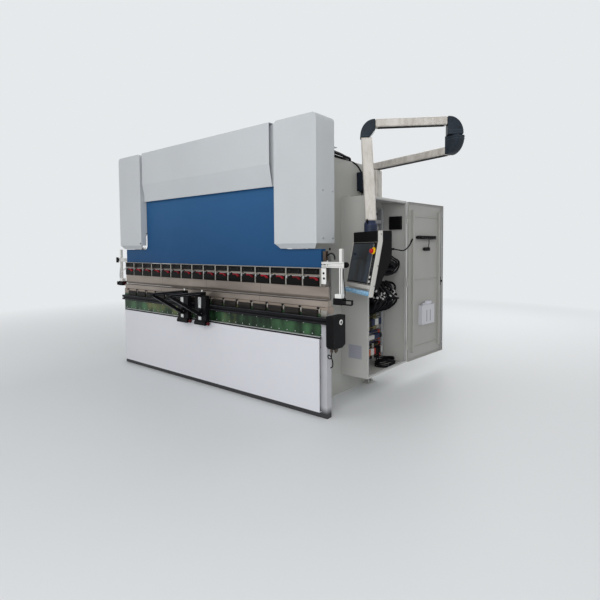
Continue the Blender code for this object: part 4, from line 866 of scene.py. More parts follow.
# Light guards. A white-anodised T-slot bar runs out from each end of the ram and carries an
# upright with the light barrier's black head at its foot. A star knob locks the upright,
# and the left bar has a black clamp head and a thin strut as well.
GUARD_BAR_SIZE = 0.050
GUARD_BAR_Y = 0.011
GRIP_REACH = 0.0855
POST_HALF = 0.014
white_alloy = metal("white_anodised", "dededb", 0.38, grain=(0.1, 0.1, 1), spread_by=0.04, metallic=0.3)
dress(("guard_bracket_left", "guard_bracket_right"), white_alloy)
dress(("guard_emitter_left", "guard_emitter_right"), black_plastic)
lens_red = moulded("lens_red", "5a0c10", 0.12, depth=0.0)
slot_dark = moulded("slot_shadow", "3a3b3c", 0.6)
for side, away in (("left", -1), ("right", 1)):
    head_low, head_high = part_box("guard_emitter_" + side)
    arm_low, arm_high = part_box("guard_bracket_" + side)
    head_mid = (head_low + head_high) / 2
    head_mid.x -= away * GRIP_REACH / 2
    post_x = (arm_high.x - 0.042) if away > 0 else (arm_low.x + 0.042)
    post_mid = Vector((post_x, head_mid.y, head_mid.z))
    tip = arm_high.x if away > 0 else arm_low.x
    bar_low_z = ram_low.z + 0.002
    bar_mid = Vector((tip, spot(0, GUARD_BAR_Y, 0).y + GUARD_BAR_SIZE / 2, bar_low_z + GUARD_BAR_SIZE / 2))
    slab("guard_bar_cap_" + side, bar_mid - Vector((0 if away > 0 else 0.004, 0.0245, 0.0245)),
         bar_mid + Vector((0.004 if away > 0 else 0, 0.0245, 0.0245)), 0.003, "ram", black_plastic)
    # Painted shade: dark strips along the bar's front stand for the shade in its slots.
    for index, rise in enumerate((0.0155, -0.0155)):
        low_x, high_x = sorted((ram_high.x if away > 0 else ram_low.x, tip))
        slot_shade = block("guard_bar_rib_%s_%d" % (side, index + 1),
                    (low_x + 0.01, bar_mid.y - GUARD_BAR_SIZE / 2 - 0.0008, bar_mid.z + rise - 0.0012),
                    (high_x - 0.002, bar_mid.y - GUARD_BAR_SIZE / 2 + 0.002, bar_mid.z + rise + 0.0012))
        fit(slot_shade, "ram", slot_dark)
    knob = turned("knob", ((0, 0.006), (0.010, 0.006), (0.012, 0.015), (0.022, 0.017), (0.026, 0.013),
                           (0.026, 0.005)),
                  bar_mid + Vector((away * 0.004, 0, 0)), (away, 0, 0), 24)
    lugs = [block("lug", bar_mid + Vector((away * 0.016 - 0.006, -0.004, 0.014)),
                  bar_mid + Vector((away * 0.016 + 0.008, 0.004, 0.022)))]
    for turn in range(1, 5):
        lug = copied(lugs[0], (0, 0, 0))
        fifth = Matrix.Rotation(turn * 2 * pi / 5, 4, "X")
        lug.data.transform(Matrix.Translation(bar_mid) @ fifth @ Matrix.Translation(-bar_mid))
        lugs.append(lug)
    fit(rounded(joined("guard_knob_" + side, [knob] + lugs), 0.0015), "ram", black_plastic)
    # Painted shade: a dark strip down the upright's front for the shade in its slot.
    fit(block("guard_post_slot_shade_" + side,
              (post_x - 0.0025, post_mid.y - POST_HALF - 0.0006, arm_low.z + 0.040),
              (post_x + 0.0025, post_mid.y - POST_HALF + 0.001, bar_mid.z - 0.027)), "ram", slot_dark)
    slab("guard_post_cap_" + side, (post_x - POST_HALF, post_mid.y - POST_HALF, arm_high.z),
         (post_x + POST_HALF, post_mid.y + POST_HALF, arm_high.z + 0.004), 0.003, "ram", white_alloy)
    inner = head_low.x if away > 0 else head_high.x
    fit(turned("guard_lens_" + side, ((0, 0.015), (0.003, 0.015), (0.003, 0.012), (-0.001, 0.012)),
               (inner, head_mid.y, head_mid.z), (-away, 0, 0), 24), "ram", lens_red)
    fit(cable("guard_lead_" + side,
              [(post_x + away * 0.030, post_mid.y, head_high.z - 0.002),
               (post_x + away * 0.040, post_mid.y - 0.004, head_high.z + 0.05),
               (post_x + away * 0.030, post_mid.y - 0.006, head_high.z + 0.14),
               (post_x + away * 0.020, post_mid.y - 0.002, head_high.z + 0.22),
               (post_x + away * 0.010, post_mid.y + 0.017, bar_mid.z - 0.022)], 0.0035), "ram",
        black_jacket)
    screws("guard_bar_screws_" + side,
           ((ram_high.x if away > 0 else ram_low.x) + away * 0.020, bar_mid.y - 0.024, bar_mid.z),
           (0, -1, 0), 0.007, 0.004, [(away * 0.045, 0, 0)], "ram", screw_steel)
arm_low, arm_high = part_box("guard_bracket_left")
bar_back_y = spot(0, GUARD_BAR_Y, 0).y
slab("guard_clamp_head", (arm_low.x - 0.026, bar_back_y - 0.016, ram_low.z - 0.010),
     (arm_low.x + 0.022, bar_back_y - 0.001, ram_low.z + 0.062), 0.005, "ram", black_plastic)
fit(cable("guard_strut", spots((-1.776, 0.012, 1.186), (-1.720, 0.010, 1.216), (-1.652, 0.006, 1.252)),
          0.0055), "ram", white_alloy)


# Crowning drive. A black plastic cover at the rail's right end hides the wedge drive. It
# has a round screwed cap with a bright ring, and two plated connectors under it.
drive_low, drive_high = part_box("crowning_drive_box")
dress(("crowning_drive_box",), black_plastic)
ring_steel = metal("ring_steel", "e2e2e0", 0.35, metallic=0.3)
badge = Vector((drive_high.x, drive_low.y + 0.118, drive_high.z - 0.058))
fit(turned("drive_cap_ring", ((0, 0.023), (0.004, 0.023), (0.005, 0.021), (0.005, 0.014), (0.001, 0.014)),
           badge, (1, 0, 0), 32), "frame", ring_steel)
fit(turned("drive_cap", ((0.0008, 0.0138), (0.003, 0.0138), (0.004, 0.011), (0.004, 0.004), (0.006, 0.003)),
           badge, (1, 0, 0), 24), "frame", slot_dark)
span_y = drive_high.y - drive_low.y - 0.028
span_z = drive_high.z - drive_low.z - 0.075
screws("drive_cover_screws", (drive_high.x, drive_low.y + 0.014, drive_high.z - 0.014), (1, 0, 0), 0.005,
       0.003, corners((0, span_y, 0), (0, 0, -span_z)), "frame", black_screw)
connector = turned("connector",
                   ((0, 0.013), (0.006, 0.013), (0.006, 0.011), (0.020, 0.011), (0.022, 0.0125),
                    (0.034, 0.0125), (0.036, 0.009), (0.046, 0.007)),
                   (drive_low.x + 0.022, drive_low.y + 0.055, drive_low.z + 0.004), (0, 0, -1), 20)
plugs = spread("drive_connectors", connector, [(0.018, 0.036, 0), (0.002, 0.075, 0)])
fit(plugs, "frame", brown_steel)
fit(cable("drive_lead", [(drive_low.x + 0.022, drive_low.y + 0.055, drive_low.z - 0.038),
                         (drive_low.x + 0.018, drive_low.y + 0.040, drive_low.z - 0.085),
                         (drive_low.x - 0.002, drive_low.y + 0.036, drive_low.z - 0.075),
                         (drive_low.x - 0.010, drive_low.y + 0.06, drive_low.z - 0.060),
                         (drive_low.x + 0.004, drive_low.y + 0.085, drive_low.z - 0.10),
                         (drive_low.x - 0.002, drive_low.y + 0.10, drive_low.z - 0.17),
                         (drive_low.x - 0.024, drive_low.y + 0.106, drive_low.z - 0.185)], 0.005), "frame",
    black_jacket)


# Sheet supports. Two black arms hang on carriages that roll along the rail. A bright upright strip and a
# red-topped lock knob set the height, and a flat bar braces the arm. Light strips along each arm's top and
# side edges are painted highlights.
support_black = blackened("support_enamel", "0b0b0d", "1c1c20")
knob_red = moulded("dark_red_knob", "4c171a", 0.50)
for number in (1, 2):
    body = "support_%d" % number
    arm_low, arm_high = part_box("support_arm_%d" % number)
    ride_low, ride_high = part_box("support_carriage_%d" % number)
    dress(("support_arm_%d" % number, "support_carriage_%d" % number), support_black)
    left = arm_low.x + 0.012
    face = ride_low.y + 0.020
    for index, (low_z, high_z) in enumerate(((0.872, 0.990), (0.742, 0.818))):
        strip = block("support_strip_%d_%d" % (number, index + 1), (left, face - 0.009, low_z),
                      (left + 0.046, face, high_z))
        recessed(strip, (0, -1, 0), 0.014, (0, 0.004, 0))
        fit(rounded(strip, 0.001), body, upright_aluminium)
    slab("support_height_clamp_%d" % number, (left - 0.006, face - 0.016, 0.824),
         (left + 0.052, face, 0.866), 0.003, body, support_black)
    fit(screw("support_clamp_screw_%d" % number, (left + 0.023, face - 0.016, 0.845), (0, -1, 0), 0.009,
              0.006), body, black_screw)
    fit(turned("support_knob_%d" % number,
               ((0, 0.007), (0.014, 0.007), (0.016, 0.018), (0.030, 0.019), (0.034, 0.014), (0.034, 0.004)),
               (ride_high.x, ride_low.y + 0.030, 0.708), (1, 0, 0), 24), body, knob_red)
    slab("support_arm_cap_%d" % number, (arm_low.x + 0.004, arm_low.y - 0.004, arm_high.z - 0.032),
         (arm_high.x - 0.004, arm_low.y, arm_high.z - 0.002), 0.002, body, black_plastic)
    # Painted highlights: light strips on the arm's top and along its upper side edges.
    slab("support_wear_strip_%d" % number, (arm_low.x + 0.022, arm_low.y + 0.012, arm_high.z - 0.001),
         (arm_high.x - 0.022, arm_high.y - 0.012, arm_high.z + 0.0015), 0.0008, body, edge_highlight_wear, 1)
    for side, edge in (("left", arm_low.x), ("right", arm_high.x)):
        fit(block("support_arm_groove_%s_%d" % (side, number),
                  (edge - 0.0008, arm_low.y + 0.02, arm_high.z - 0.020),
                  (edge + 0.0008, ride_low.y - 0.01, arm_high.z - 0.014)), body, edge_highlight_wear)
    fit(turned("support_stop_%d" % number, ((0, 0.010), (0.020, 0.010), (0.022, 0.007)),
               (arm_low.x + 0.04, arm_high.y - 0.02, arm_high.z), (0, 0, 1), 20), body, upright_aluminium)
    screws("carriage_screws_%d" % number, (ride_high.x - 0.020, face, 0.990), (0, -1, 0), 0.007, 0.004,
           [(0, 0, -0.11), (0, 0, -0.21), (-0.14, 0, 0)], body, black_screw)


# Control cabinet. A folded sheet shell hangs on the right frame with four brackets. Inside
# are a mounting plate, slotted cable ducts and rows of devices on rails, and a fan blows
# through the rear wall. Behind the opening's upper edge is a dark cable slot.
cab_low, cab_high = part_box("cabinet_shell")
plate_low, plate_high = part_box("mounting_plate")
zinc_plate = metal("zinc_plated_sheet", "a9aaa8", 0.5, spread_by=0.08, metallic=0.4)
dress(("mounting_plate",), zinc_plate)
duct_grey = moulded("duct_grey", "8f9193", 0.55)
for index, (rise, along) in enumerate(((0.30, 0.12), (0.30, 0.68), (1.60, 0.12), (1.60, 0.68))):
    bracket = block("cabinet_bracket_%d" % (index + 1),
                    (cab_low.x - 0.0002, cab_low.y + along, cab_high.z - 0.0005),
                    (cab_low.x + 0.004, cab_low.y + along + 0.05, cab_high.z + 0.035))
    if rise < 1:
        bracket.data.transform(Matrix.Translation((0, 0, cab_low.z - cab_high.z - 0.034)))
    recessed(bracket, (1, 0, 0), 0.008, (0.0015, 0, 0))
    fit(rounded(bracket, 0.001), "frame", cabinet_paint)

OPENING_EDGE = 1.6573
edge_x = spot(OPENING_EDGE, 0, 0).x
slab("cabinet_sill_lip", (edge_x - 0.004, cab_low.y + 0.03, cab_low.z + 0.027),
     (edge_x + 0.0015, cab_high.y - 0.03, cab_low.z + 0.031), 0.0008, "frame", aluminium, 1)
seal_low = Vector((edge_x - 0.0005, cab_low.y + 0.020, cab_low.z + 0.020))
seal_high = Vector((edge_x + 0.003, cab_high.y - 0.012, cab_high.z - 0.020))
seals = [block("seal", seal_low, (seal_high.x, seal_high.y, seal_low.z + 0.006)),
         block("seal", (seal_low.x, seal_low.y, seal_high.z - 0.006), seal_high),
         block("seal", seal_low, (seal_high.x, seal_low.y + 0.006, seal_high.z)),
         block("seal", (seal_low.x, seal_high.y - 0.006, seal_low.z), seal_high)]
fit(rounded(joined("cabinet_seal", seals), 0.0015, 1), "frame", duct_grey)
gutter = block("cabinet_gutter", (edge_x - 0.010, spot(0, 1.5495, 0).y, cab_low.z + 0.002),
               (edge_x, spot(0, 1.565, 0).y, cab_high.z - 0.002))
recessed(gutter, (0, 1, 0), 0.002, (0, -0.010, 0))
fit(gutter, "frame", cabinet_paint)


def repeated(piece, step, count):
    """Repeats a piece within itself, count times, each a step on."""
    alone(piece)
    row = piece.modifiers.new("row", "ARRAY")
    row.count = count
    row.use_relative_offset = False
    row.use_constant_offset = True
    row.constant_offset_displace = step
    bpy.ops.object.modifier_apply(modifier="row")
    return piece


def duct(name, start, length, upright=False):
    """Slotted cable duct on the mounting plate: two combs under a smooth lid."""
    wide, deep, tooth = 0.040, 0.060, 0.0085
    along = Vector((0, 0, 1)) if upright else Vector((0, 1, 0))
    across = Vector((0, 1, 0)) if upright else Vector((0, 0, 1))
    out = Vector((1, 0, 0))
    count = int(length / 0.0125)
    comb = block("comb", start, start + out * (deep - 0.012) + across * 0.0015 + along * tooth)
    comb = repeated(comb, along * 0.0125, count)
    far = copied(comb, across * (wide - 0.0015))
    lid = block("lid", start + out * (deep - 0.012), start + out * deep + across * wide + along * length)
    lid = rounded(lid, 0.002, 1)
    floor_strip = block("floor", start, start + out * 0.0015 + across * wide + along * length)
    piece = joined(name, [comb, far, lid, floor_strip])
    return fit(piece, "frame", duct_grey)


plate_x = plate_high.x
gear_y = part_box("relay_row")[0].y
gear_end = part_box("relay_row")[1].y
rows = {name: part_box(name)
        for name in ("contactor_row", "drive_unit", "relay_row", "supply_unit", "terminal_row",
                     "controller_unit")}
duct_levels = (0.787, 1.115, 1.330, 1.780)
for index, level in enumerate(duct_levels):
    duct("cable_duct_%d" % (index + 1), Vector((plate_x, gear_y + 0.001, level)), gear_end - gear_y - 0.002)
duct("cable_duct_5", Vector((plate_x, gear_end + 0.008, plate_low.z + 0.02)),
     plate_high.z - plate_low.z - 0.04, True)

device_black = moulded("device_black", "121214", 0.45)
device_grey = moulded("device_grey", "8d8f8c", 0.45)
device_olive = moulded("device_olive", "66654a", 0.45)
device_blue = moulded("device_blue", "28304a", 0.40)
device_red = moulded("device_red", "93332e", 0.42)
device_white = moulded("device_white", "b9bab7", 0.42)
device_orange = moulded("device_orange", "a85a38", 0.45)
terminal_brass = metal("terminal_brass", "b89a52", 0.35, metallic=0.9)


def device(along, wide, low, high, reach, material, nose=None, screws=True):
    """Rail device: a body, a raised nose over its middle and a screw in each end's terminal."""
    start = gear_y + along
    third = (high - low) / 3.4
    body = block("body", (plate_x + 0.006, start + 0.0004, low),
                 (plate_x + reach * 0.66, start + wide - 0.0004, high))
    painted(rounded(body, 0.0015, 1), material)
    front = block("nose", (plate_x + reach * 0.6, start + 0.0008, low + third),
                  (plate_x + reach, start + wide - 0.0008, high - third))
    painted(rounded(front, 0.002, 1), nose or material)
    parts = [body, front]
    if screws:
        count = max(1, int(wide / 0.0145))
        pitch = wide / count
        head = turned("terminal", ((0, 0.0036), (0.0015, 0.0036), (0.0015, 0.0028)),
                      (plate_x + reach * 0.66, start + pitch / 2, low + third / 2), (1, 0, 0), 8)
        head = repeated(head, (0, pitch, 0), count)
        top_heads = copied(head, (0, 0, high - low - third))
        parts += [painted(head, terminal_brass), painted(top_heads, terminal_brass)]
    return parts


def rail_piece(low, high):
    """Top-hat rail behind a row of devices, over the whole row."""
    middle = (low + high) / 2
    rail = block("rail", (plate_x, gear_y, middle - 0.0175), (plate_x + 0.007, gear_end, middle + 0.0175))
    recessed(rail, (1, 0, 0), 0.005, (-0.005, 0, 0))
    return painted(rail, aluminium)


def device_row(name, node, devices, reach=0.080):
    """A row of devices in the place of its CAD node: how many alike, how wide, body and nose."""
    low, high = rows[node][0].z + 0.002, rows[node][1].z - 0.002
    parts = [rail_piece(low, high)]
    along = 0.0
    for count, wide, material, nose in devices:
        for part in device(along, wide, low, high, reach, material, nose):
            parts.append(repeated(part, (0, wide, 0), count))
        along += count * wide + ROW_GAP
    piece = fit(joined(name, parts), "frame")
    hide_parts(node)


ROW_GAP = 0.003
device_row("contactors", "contactor_row",
           [(4, 0.045, device_black, device_black), (2, 0.054, device_black, device_orange),
            (1, 0.072, device_black, device_white), (1, 0.036, device_grey, device_red),
            (2, 0.054, device_black, device_black), (1, 0.036, device_red, device_white)])
device_row("drive_modules", "drive_unit",
           [(6, 0.018, device_grey, device_black), (1, 0.110, device_black, device_red),
            (1, 0.150, device_blue, device_white), (1, 0.120, device_blue, device_blue),
            (1, 0.040, device_red, device_black)])
device_row("relays", "relay_row",
           [(2, 0.028, device_olive, device_black), (1, 0.028, device_olive, device_white),
            (5, 0.028, device_olive, device_black), (1, 0.028, device_olive, device_white),
            (2, 0.028, device_olive, device_black), (1, 0.062, device_black, device_blue),
            (1, 0.075, device_olive, device_white), (1, 0.062, device_grey, device_blue)])
device_row("power_supplies", "supply_unit",
           [(1, 0.090, device_grey, device_grey), (1, 0.125, device_grey, device_black),
            (1, 0.125, device_grey, device_grey), (2, 0.085, device_black, device_grey)])
device_row("terminals", "terminal_row",
           [(39, 0.0062, device_grey, device_white), (11, 0.0062, device_blue, device_white),
            (18, 0.0082, device_olive, device_orange)], 0.055)
device_row("controller_modules", "controller_unit",
           [(1, 0.110, device_black, device_grey), (2, 0.036, device_grey, device_black),
            (1, 0.036, device_grey, device_white), (1, 0.036, device_grey, device_black),
            (1, 0.140, device_black, device_blue), (1, 0.100, device_grey, device_black)])

wires = {"black": [], "blue": [], "brown": []}
for index in range(54):
    level = duct_levels[index % 4]
    kind = ("black", "black", "blue", "brown")[(index * 5) % 4]
    start_y = gear_y + 0.012 + (gear_end - gear_y - 0.03) * ((index * 13) % 54) / 54
    sag = 0.012 * sin(3.1 * index)
    path = [(plate_x + 0.030, start_y, level + 0.002),
            (plate_x + 0.066, start_y + sag, level - 0.022),
            (plate_x + 0.060, start_y + 0.6 * sag, level - 0.050),
            (plate_x + 0.045, start_y, level - 0.060)]
    wires[kind].append(cable("wire", path, 0.0022, 0))
for kind, code in (("black", "111113"), ("blue", "2a3f78"), ("brown", "5b3a28")):
    fit(joined("device_wires_" + kind, wires[kind]), "frame", jacket("wire_" + kind, code))

fan_low, fan_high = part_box("cabinet_fan")
fan_mid = (fan_low + fan_high) / 2
dress(("cabinet_fan",), black_plastic)
grille = [block("bar", (fan_low.x + 0.012, fan_low.y - 0.004, fan_low.z + 0.012),
                (fan_high.x - 0.012, fan_low.y + 0.002, fan_low.z + 0.017))]
grille = [repeated(grille[0], (0, 0, 0.0110), 12)]
for spot_x in (fan_low.x + 0.010, fan_high.x - 0.014):
    grille.append(block("side", (spot_x, fan_low.y - 0.005, fan_low.z + 0.010),
                        (spot_x + 0.004, fan_low.y + 0.002, fan_high.z - 0.010)))
fit(joined("fan_grille", grille), "frame", rubber)
outside = []
for ring_size in (0.060, 0.045, 0.030, 0.015):
    bpy.ops.object.select_all(action="DESELECT")
    bpy.ops.mesh.primitive_torus_add(major_radius=ring_size, minor_radius=0.0016,
                                     major_segments=28, minor_segments=6,
                                     location=(fan_mid.x, cab_high.y + 0.004, fan_mid.z),
                                     rotation=(radians(90), 0, 0))
    bpy.ops.object.transform_apply()
    outside.append(bpy.context.object)
fan_back = Matrix.Translation((fan_mid.x, cab_high.y + 0.003, fan_mid.z))
for turn in range(4):
    spoke = block("spoke", (-0.062, -0.0012, -0.0016), (0.062, 0.0012, 0.0016))
    spoke.data.transform(fan_back @ Matrix.Rotation(turn * pi / 4, 4, "Y"))
    outside.append(spoke)
fit(joined("fan_guard", outside), "frame", screw_steel)
slab("cable_slot", (plate_x + 0.001, spot(0, 1.216, 0).y, 1.878),
     (plate_x + 0.014, spot(0, 1.374, 0).y, 1.902), 0.003, "frame", rubber)
fit(turned("roof_plug", ((0, 0.016), (0.006, 0.016), (0.010, 0.010)), (plate_x, spot(0, 1.28, 0).y, 1.955),
           (1, 0, 0), 20), "frame", rubber)
tag = block("cabinet_tag_plate", (spot(1.433, 0, 0).x, cab_low.y - 0.0015, 0.382),
            (spot(1.588, 0, 0).x, cab_low.y, 0.522))
tag_grey = enamel("tag_grey", "9a9ba6", 0.35, cloud=0.04)
fit(rounded(tag, 0.0006, 1), "frame", tag_grey)
rivet = turned("rivet", ((0, 0.004), (0.0015, 0.0035), (0.002, 0.002)),
               (spot(1.441, 0, 0).x, cab_low.y - 0.0015, 0.390), (0, -1, 0), 10)
fit(spread("tag_rivets", rivet, corners((0.139, 0, 0), (0, 0, 0.124))), "frame", screw_steel)


# Cabinet cables. Black control cables hang in loops from the upper duct, and a thick tangle
# of corrugated conduit fills the middle. More cable lies coiled on the cabinet's floor.
loops = []
for index in range(7):
    inward = 0.012 * index
    lift = 0.014 * (index % 3)
    reach = 1.605 - 0.016 * (index % 4)
    loops.append(cable("loop",
                       spots((1.44, 1.02 + inward, 1.44 - lift),
                             (reach - 0.06, 1.09 + inward, 1.462 - lift),
                             (reach, 1.20 + inward, 1.440 - inward), (reach, 1.36 - inward, 1.392 - inward),
                             (reach + 0.01, 1.462 - inward, 1.335 - lift),
                             (reach, 1.455 - inward, 1.275 + lift),
                             (reach - 0.01, 1.34 - inward, 1.222 + inward),
                             (reach - 0.05, 1.18, 1.215 + inward), (1.45, 1.06 + inward, 1.25 + lift)),
                       0.0105 - 0.001 * (index % 3), 2))
for index in range(4):
    loops.append(cable("loop",
                       spots((1.44, 1.05, 1.42 - 0.03 * index),
                             (1.57, 1.16 + 0.02 * index, 1.43 - 0.02 * index),
                             (1.60, 1.29 + 0.03 * index, 1.34 - 0.015 * index),
                             (1.58, 1.36 + 0.02 * index, 1.27 + 0.01 * index),
                             (1.53, 1.25 + 0.03 * index, 1.24 + 0.02 * index),
                             (1.45, 1.15, 1.33 + 0.02 * index)), 0.010, 2))
fit(joined("upper_cable_loops", loops), "frame", black_jacket)

tangle = []
sleeves = []
for index in range(26):
    low_y = 0.84 + 0.055 * (index % 9)
    high_y = low_y + 0.10 + 0.035 * (index % 4)
    reach = 1.630 - 0.018 * (index % 5)
    top = 1.125 - 0.020 * (index % 4) - 0.004 * (index % 7)
    low = 0.875 + 0.016 * (index % 6)
    wave = 0.030 * sin(2.4 * index)
    points = spots((1.46, low_y, top - 0.03), (reach - 0.03, low_y + 0.02 + wave, top),
                   (reach, (low_y + high_y) / 2 + wave, top - 0.045 - abs(wave)),
                   (reach + 0.005, min(high_y, 1.45), top - 0.115),
                   (reach, (low_y + high_y) / 2 - wave, low + 0.045), (reach - 0.03, low_y + 0.05, low),
                   (1.47, low_y + 0.01, low + 0.05))
    radius = 0.0120 - 0.0015 * (index % 3)
    tangle.append(cable("loop", points, radius, 2))
    for place, next_place in ((points[2], points[3]), (points[3], points[4])):
        middle = place.lerp(next_place, 0.25 + 0.05 * (index % 8))
        way = (next_place - place).normalized()
        sleeves.append(turned("sleeve",
                              ((-0.011, radius * 0.9), (0, radius + 0.0035), (0.011, radius * 0.9)),
                              middle + Vector((0.004, 0, 0.002)), way, 10))
for index in range(7):
    low_y = 0.88 + 0.085 * index
    points = spots((1.48, low_y, 1.13), (1.585, low_y + 0.02, 1.09),
                   (1.600, low_y + 0.045 * sin(index), 1.00), (1.595, low_y + 0.05, 0.92),
                   (1.54, low_y + 0.01, 0.84), (1.47, low_y, 0.80))
    tangle.append(cable("loop", points, 0.012, 2))
fit(joined("middle_cable_tangle", tangle), "frame", black_jacket)
fit(joined("cable_marker_sleeves", sleeves), "frame", device_white)

coil = []
for index in range(6):
    turns = []
    for step in range(15):
        angle = 2 * pi * step / 14
        turns.append(spot(1.53 + (0.085 + 0.006 * (index % 3)) * cos(angle),
                          1.30 + (0.165 - 0.012 * index) * sin(angle),
                          cab_low.z + 0.012 + 0.013 * index + 0.006 * sin(3 * angle + index)))
    coil.append(cable("coil", turns, 0.0065, 2))
coil.append(cable("coil",
                  spots((1.50, 1.20, 0.27), (1.48, 1.24, 0.33), (1.47, 1.27, 0.40), (1.46, 1.31, 0.44)),
                  0.006, 2))
fit(joined("floor_cable_coil", coil), "frame", black_jacket)


# Cabinet door. A folded sheet pan with four cross rails hangs on three knuckles. Inside are
# two rows of pilot lamps' backs, a lock with its long bar and a plastic pocket of papers.
# Outside are the lamps' fronts, a handle and the main switch.
# Painted shade: the door's enamel is the cabinet's paint drawn darker.
shaded_door_paint = enamel("shaded_door_enamel", "a2a19d", 0.45, cloud=0.04, peel=0.00025)
dress(("cabinet_door",), shaded_door_paint)
shut_turn = Matrix.Rotation(radians(175), 4, "Z")
hinge = spot(1.6743, 1.55, 0)


def on_door(piece):
    """Moves a piece from where it would be on the shut door's frame to the open door."""
    return placed(piece, Matrix.Translation(hinge) @ shut_turn)


DOOR_LENGTH = 0.844
DOOR_SKIN = 0.011
DOOR_SHEET = 0.003
skin = DOOR_SKIN - DOOR_SHEET
cross_rails = []
for rise in (1.862, 1.575, 1.120, 0.340):
    rail = block("cross_rail", (-0.001, -DOOR_LENGTH + 0.055, rise), (skin, -0.075, rise + 0.010))
    cross_rails.append(on_door(rounded(rail, 0.0015, 1)))
fit(joined("door_cross_rails", cross_rails), "door", shaded_door_paint)
SEAL_FAR = -DOOR_LENGTH + 0.022
SEAL_NEAR = -0.036
seam = [on_door(block("seam", (skin - 0.002, low_y, low_z), (skin + 0.0005, high_y, high_z)))
        for low_y, high_y, low_z, high_z in ((SEAL_FAR, SEAL_FAR + 0.004, 0.222, 2.002),
                                             (SEAL_NEAR - 0.004, SEAL_NEAR, 0.222, 2.002),
                                             (SEAL_FAR, SEAL_NEAR, 1.998, 2.002),
                                             (SEAL_FAR, SEAL_NEAR, 0.222, 0.226))]
fit(joined("door_seal", seam), "door", duct_grey)
pilot = turned("lamp", ((0, 0.0150), (0.006, 0.0150), (0.006, 0.013), (0.030, 0.013), (0.032, 0.010)),
               (0, 0, 0), (-1, 0, 0), 16)
wire_block = block("wire_block", (-0.036, -0.014, -0.021), (-0.016, 0.014, 0.021))
pilot = joined("lamp", [pilot, rounded(wire_block, 0.002, 1)])
rows_of_lamps = []
for along in (0.215, 0.265, 0.315, 0.365, 0.415, 0.465, 0.515, 0.565, 0.615):
    rows_of_lamps.append(copied(pilot, (skin, -along, 1.625)))
for along in (0.375, 0.420, 0.465):
    rows_of_lamps.append(copied(pilot, (skin, -along, 1.488)))
discard(pilot)
loom = cable("loom", [(-0.028, -0.62, 1.618), (-0.036, -0.50, 1.606), (-0.034, -0.40, 1.610),
                      (-0.036, -0.25, 1.620)], 0.006, 2)
drop_lead = cable("loom", [(-0.032, -0.44, 1.600), (-0.036, -0.43, 1.55), (-0.028, -0.425, 1.495)], 0.005,
                  2)
lamps_piece = on_door(joined("door_lamps", rows_of_lamps + [loom, drop_lead]))
fit(lamps_piece, "door", black_plastic)
lock_bar = block("lock_bar", (-0.016, -DOOR_LENGTH + 0.040, 0.245), (-0.0115, -DOOR_LENGTH + 0.056, 1.960))
guides = [block("guide", (-0.019, -DOOR_LENGTH + 0.034, rise), (skin, -DOOR_LENGTH + 0.062, rise + 0.018))
          for rise in (0.30, 0.72, 1.50, 1.88)]
fit(on_door(rounded(joined("door_lock_bar", [lock_bar] + guides), 0.001, 1)), "door", screw_steel)
lock = turned("lock", ((0, 0.015), (0.024, 0.015), (0.026, 0.012), (0.026, 0.006), (0.032, 0.006)),
              (skin, -DOOR_LENGTH + 0.048, 1.085), (-1, 0, 0), 20)
lock_case = block("lock_case", (-0.010, -DOOR_LENGTH + 0.026, 1.035), (skin, -DOOR_LENGTH + 0.070, 1.135))
fit(on_door(joined("door_lock", [lock, rounded(lock_case, 0.003)])), "door", black_plastic)
handle = block("door_handle", (DOOR_SKIN, -DOOR_LENGTH + 0.030, 1.00),
               (DOOR_SKIN + 0.006, -DOOR_LENGTH + 0.066, 1.17))
recessed(handle, (1, 0, 0), 0.007, (-0.003, 0, 0))
grip = block("grip", (DOOR_SKIN + 0.004, -DOOR_LENGTH + 0.039, 1.06),
             (DOOR_SKIN + 0.016, -DOOR_LENGTH + 0.057, 1.155))
fit(on_door(joined("door_handle", [rounded(handle, 0.002), rounded(grip, 0.004)])), "door", black_plastic)
main_switch = turned("main_switch",
                     ((0, 0.032), (0.004, 0.032), (0.006, 0.028), (0.006, 0.022), (0.014, 0.020)),
                     (DOOR_SKIN, -DOOR_LENGTH / 2, 1.40), (1, 0, 0), 28)
lever = block("lever", (DOOR_SKIN + 0.012, -DOOR_LENGTH / 2 - 0.007, 1.372),
              (DOOR_SKIN + 0.030, -DOOR_LENGTH / 2 + 0.007, 1.428))
switch = joined("door_main_switch",
                [painted(main_switch, black_plastic), painted(rounded(lever, 0.003), device_red)])
fit(on_door(switch), "door")
front_lamps = turned("front_lamp",
                     ((0, 0.0145), (0.003, 0.0145), (0.004, 0.012), (0.010, 0.011), (0.012, 0.008)),
                     (DOOR_SKIN, -0.215, 1.625), (1, 0, 0), 20)
steps = [(0, -0.050 * index, 0) for index in range(1, 9)]
steps += [(0, -0.160 - 0.045 * index, -0.137) for index in range(3)]
fit(on_door(spread("door_front_lamps", front_lamps, steps)), "door", black_plastic)
paper_white = moulded("paper_white", "d9d9e2", 0.75)
pocket_clear = enamel("pocket_plastic", "c3c4ca", 0.35, cloud=0.03)
dress(("document_pocket",), pocket_clear)
papers = []
PAPERS = ((-0.555, -0.345, 0.850), (-0.520, -0.320, 0.838), (-0.535, -0.400, 0.861))
for index, (low_y, high_y, top_z) in enumerate(PAPERS):
    sheet = block("papers", (-0.014 + 0.006 * index, low_y, 0.610), (-0.011 + 0.006 * index, high_y, top_z))
    pick(sheet, "EDGE", lambda middle, along: abs(along.y) > 0.9 and middle.z > 0.8)
    bpy.ops.transform.rotate(value=radians(2.5 - 3 * index), orient_axis="X",
                             center_override=(0, (low_y + high_y) / 2, 0.61))
    close()
    papers.append(sheet)
fit(on_door(joined("pocket_papers", papers)), "door", paper_white)
slits = [block("slit", (-0.0398, middle - 0.004, 0.625), (-0.0385, middle + 0.004, 0.760))
         for middle in (-0.470, -0.385)]
fit(on_door(joined("pocket_slits", slits)), "door", slot_dark)


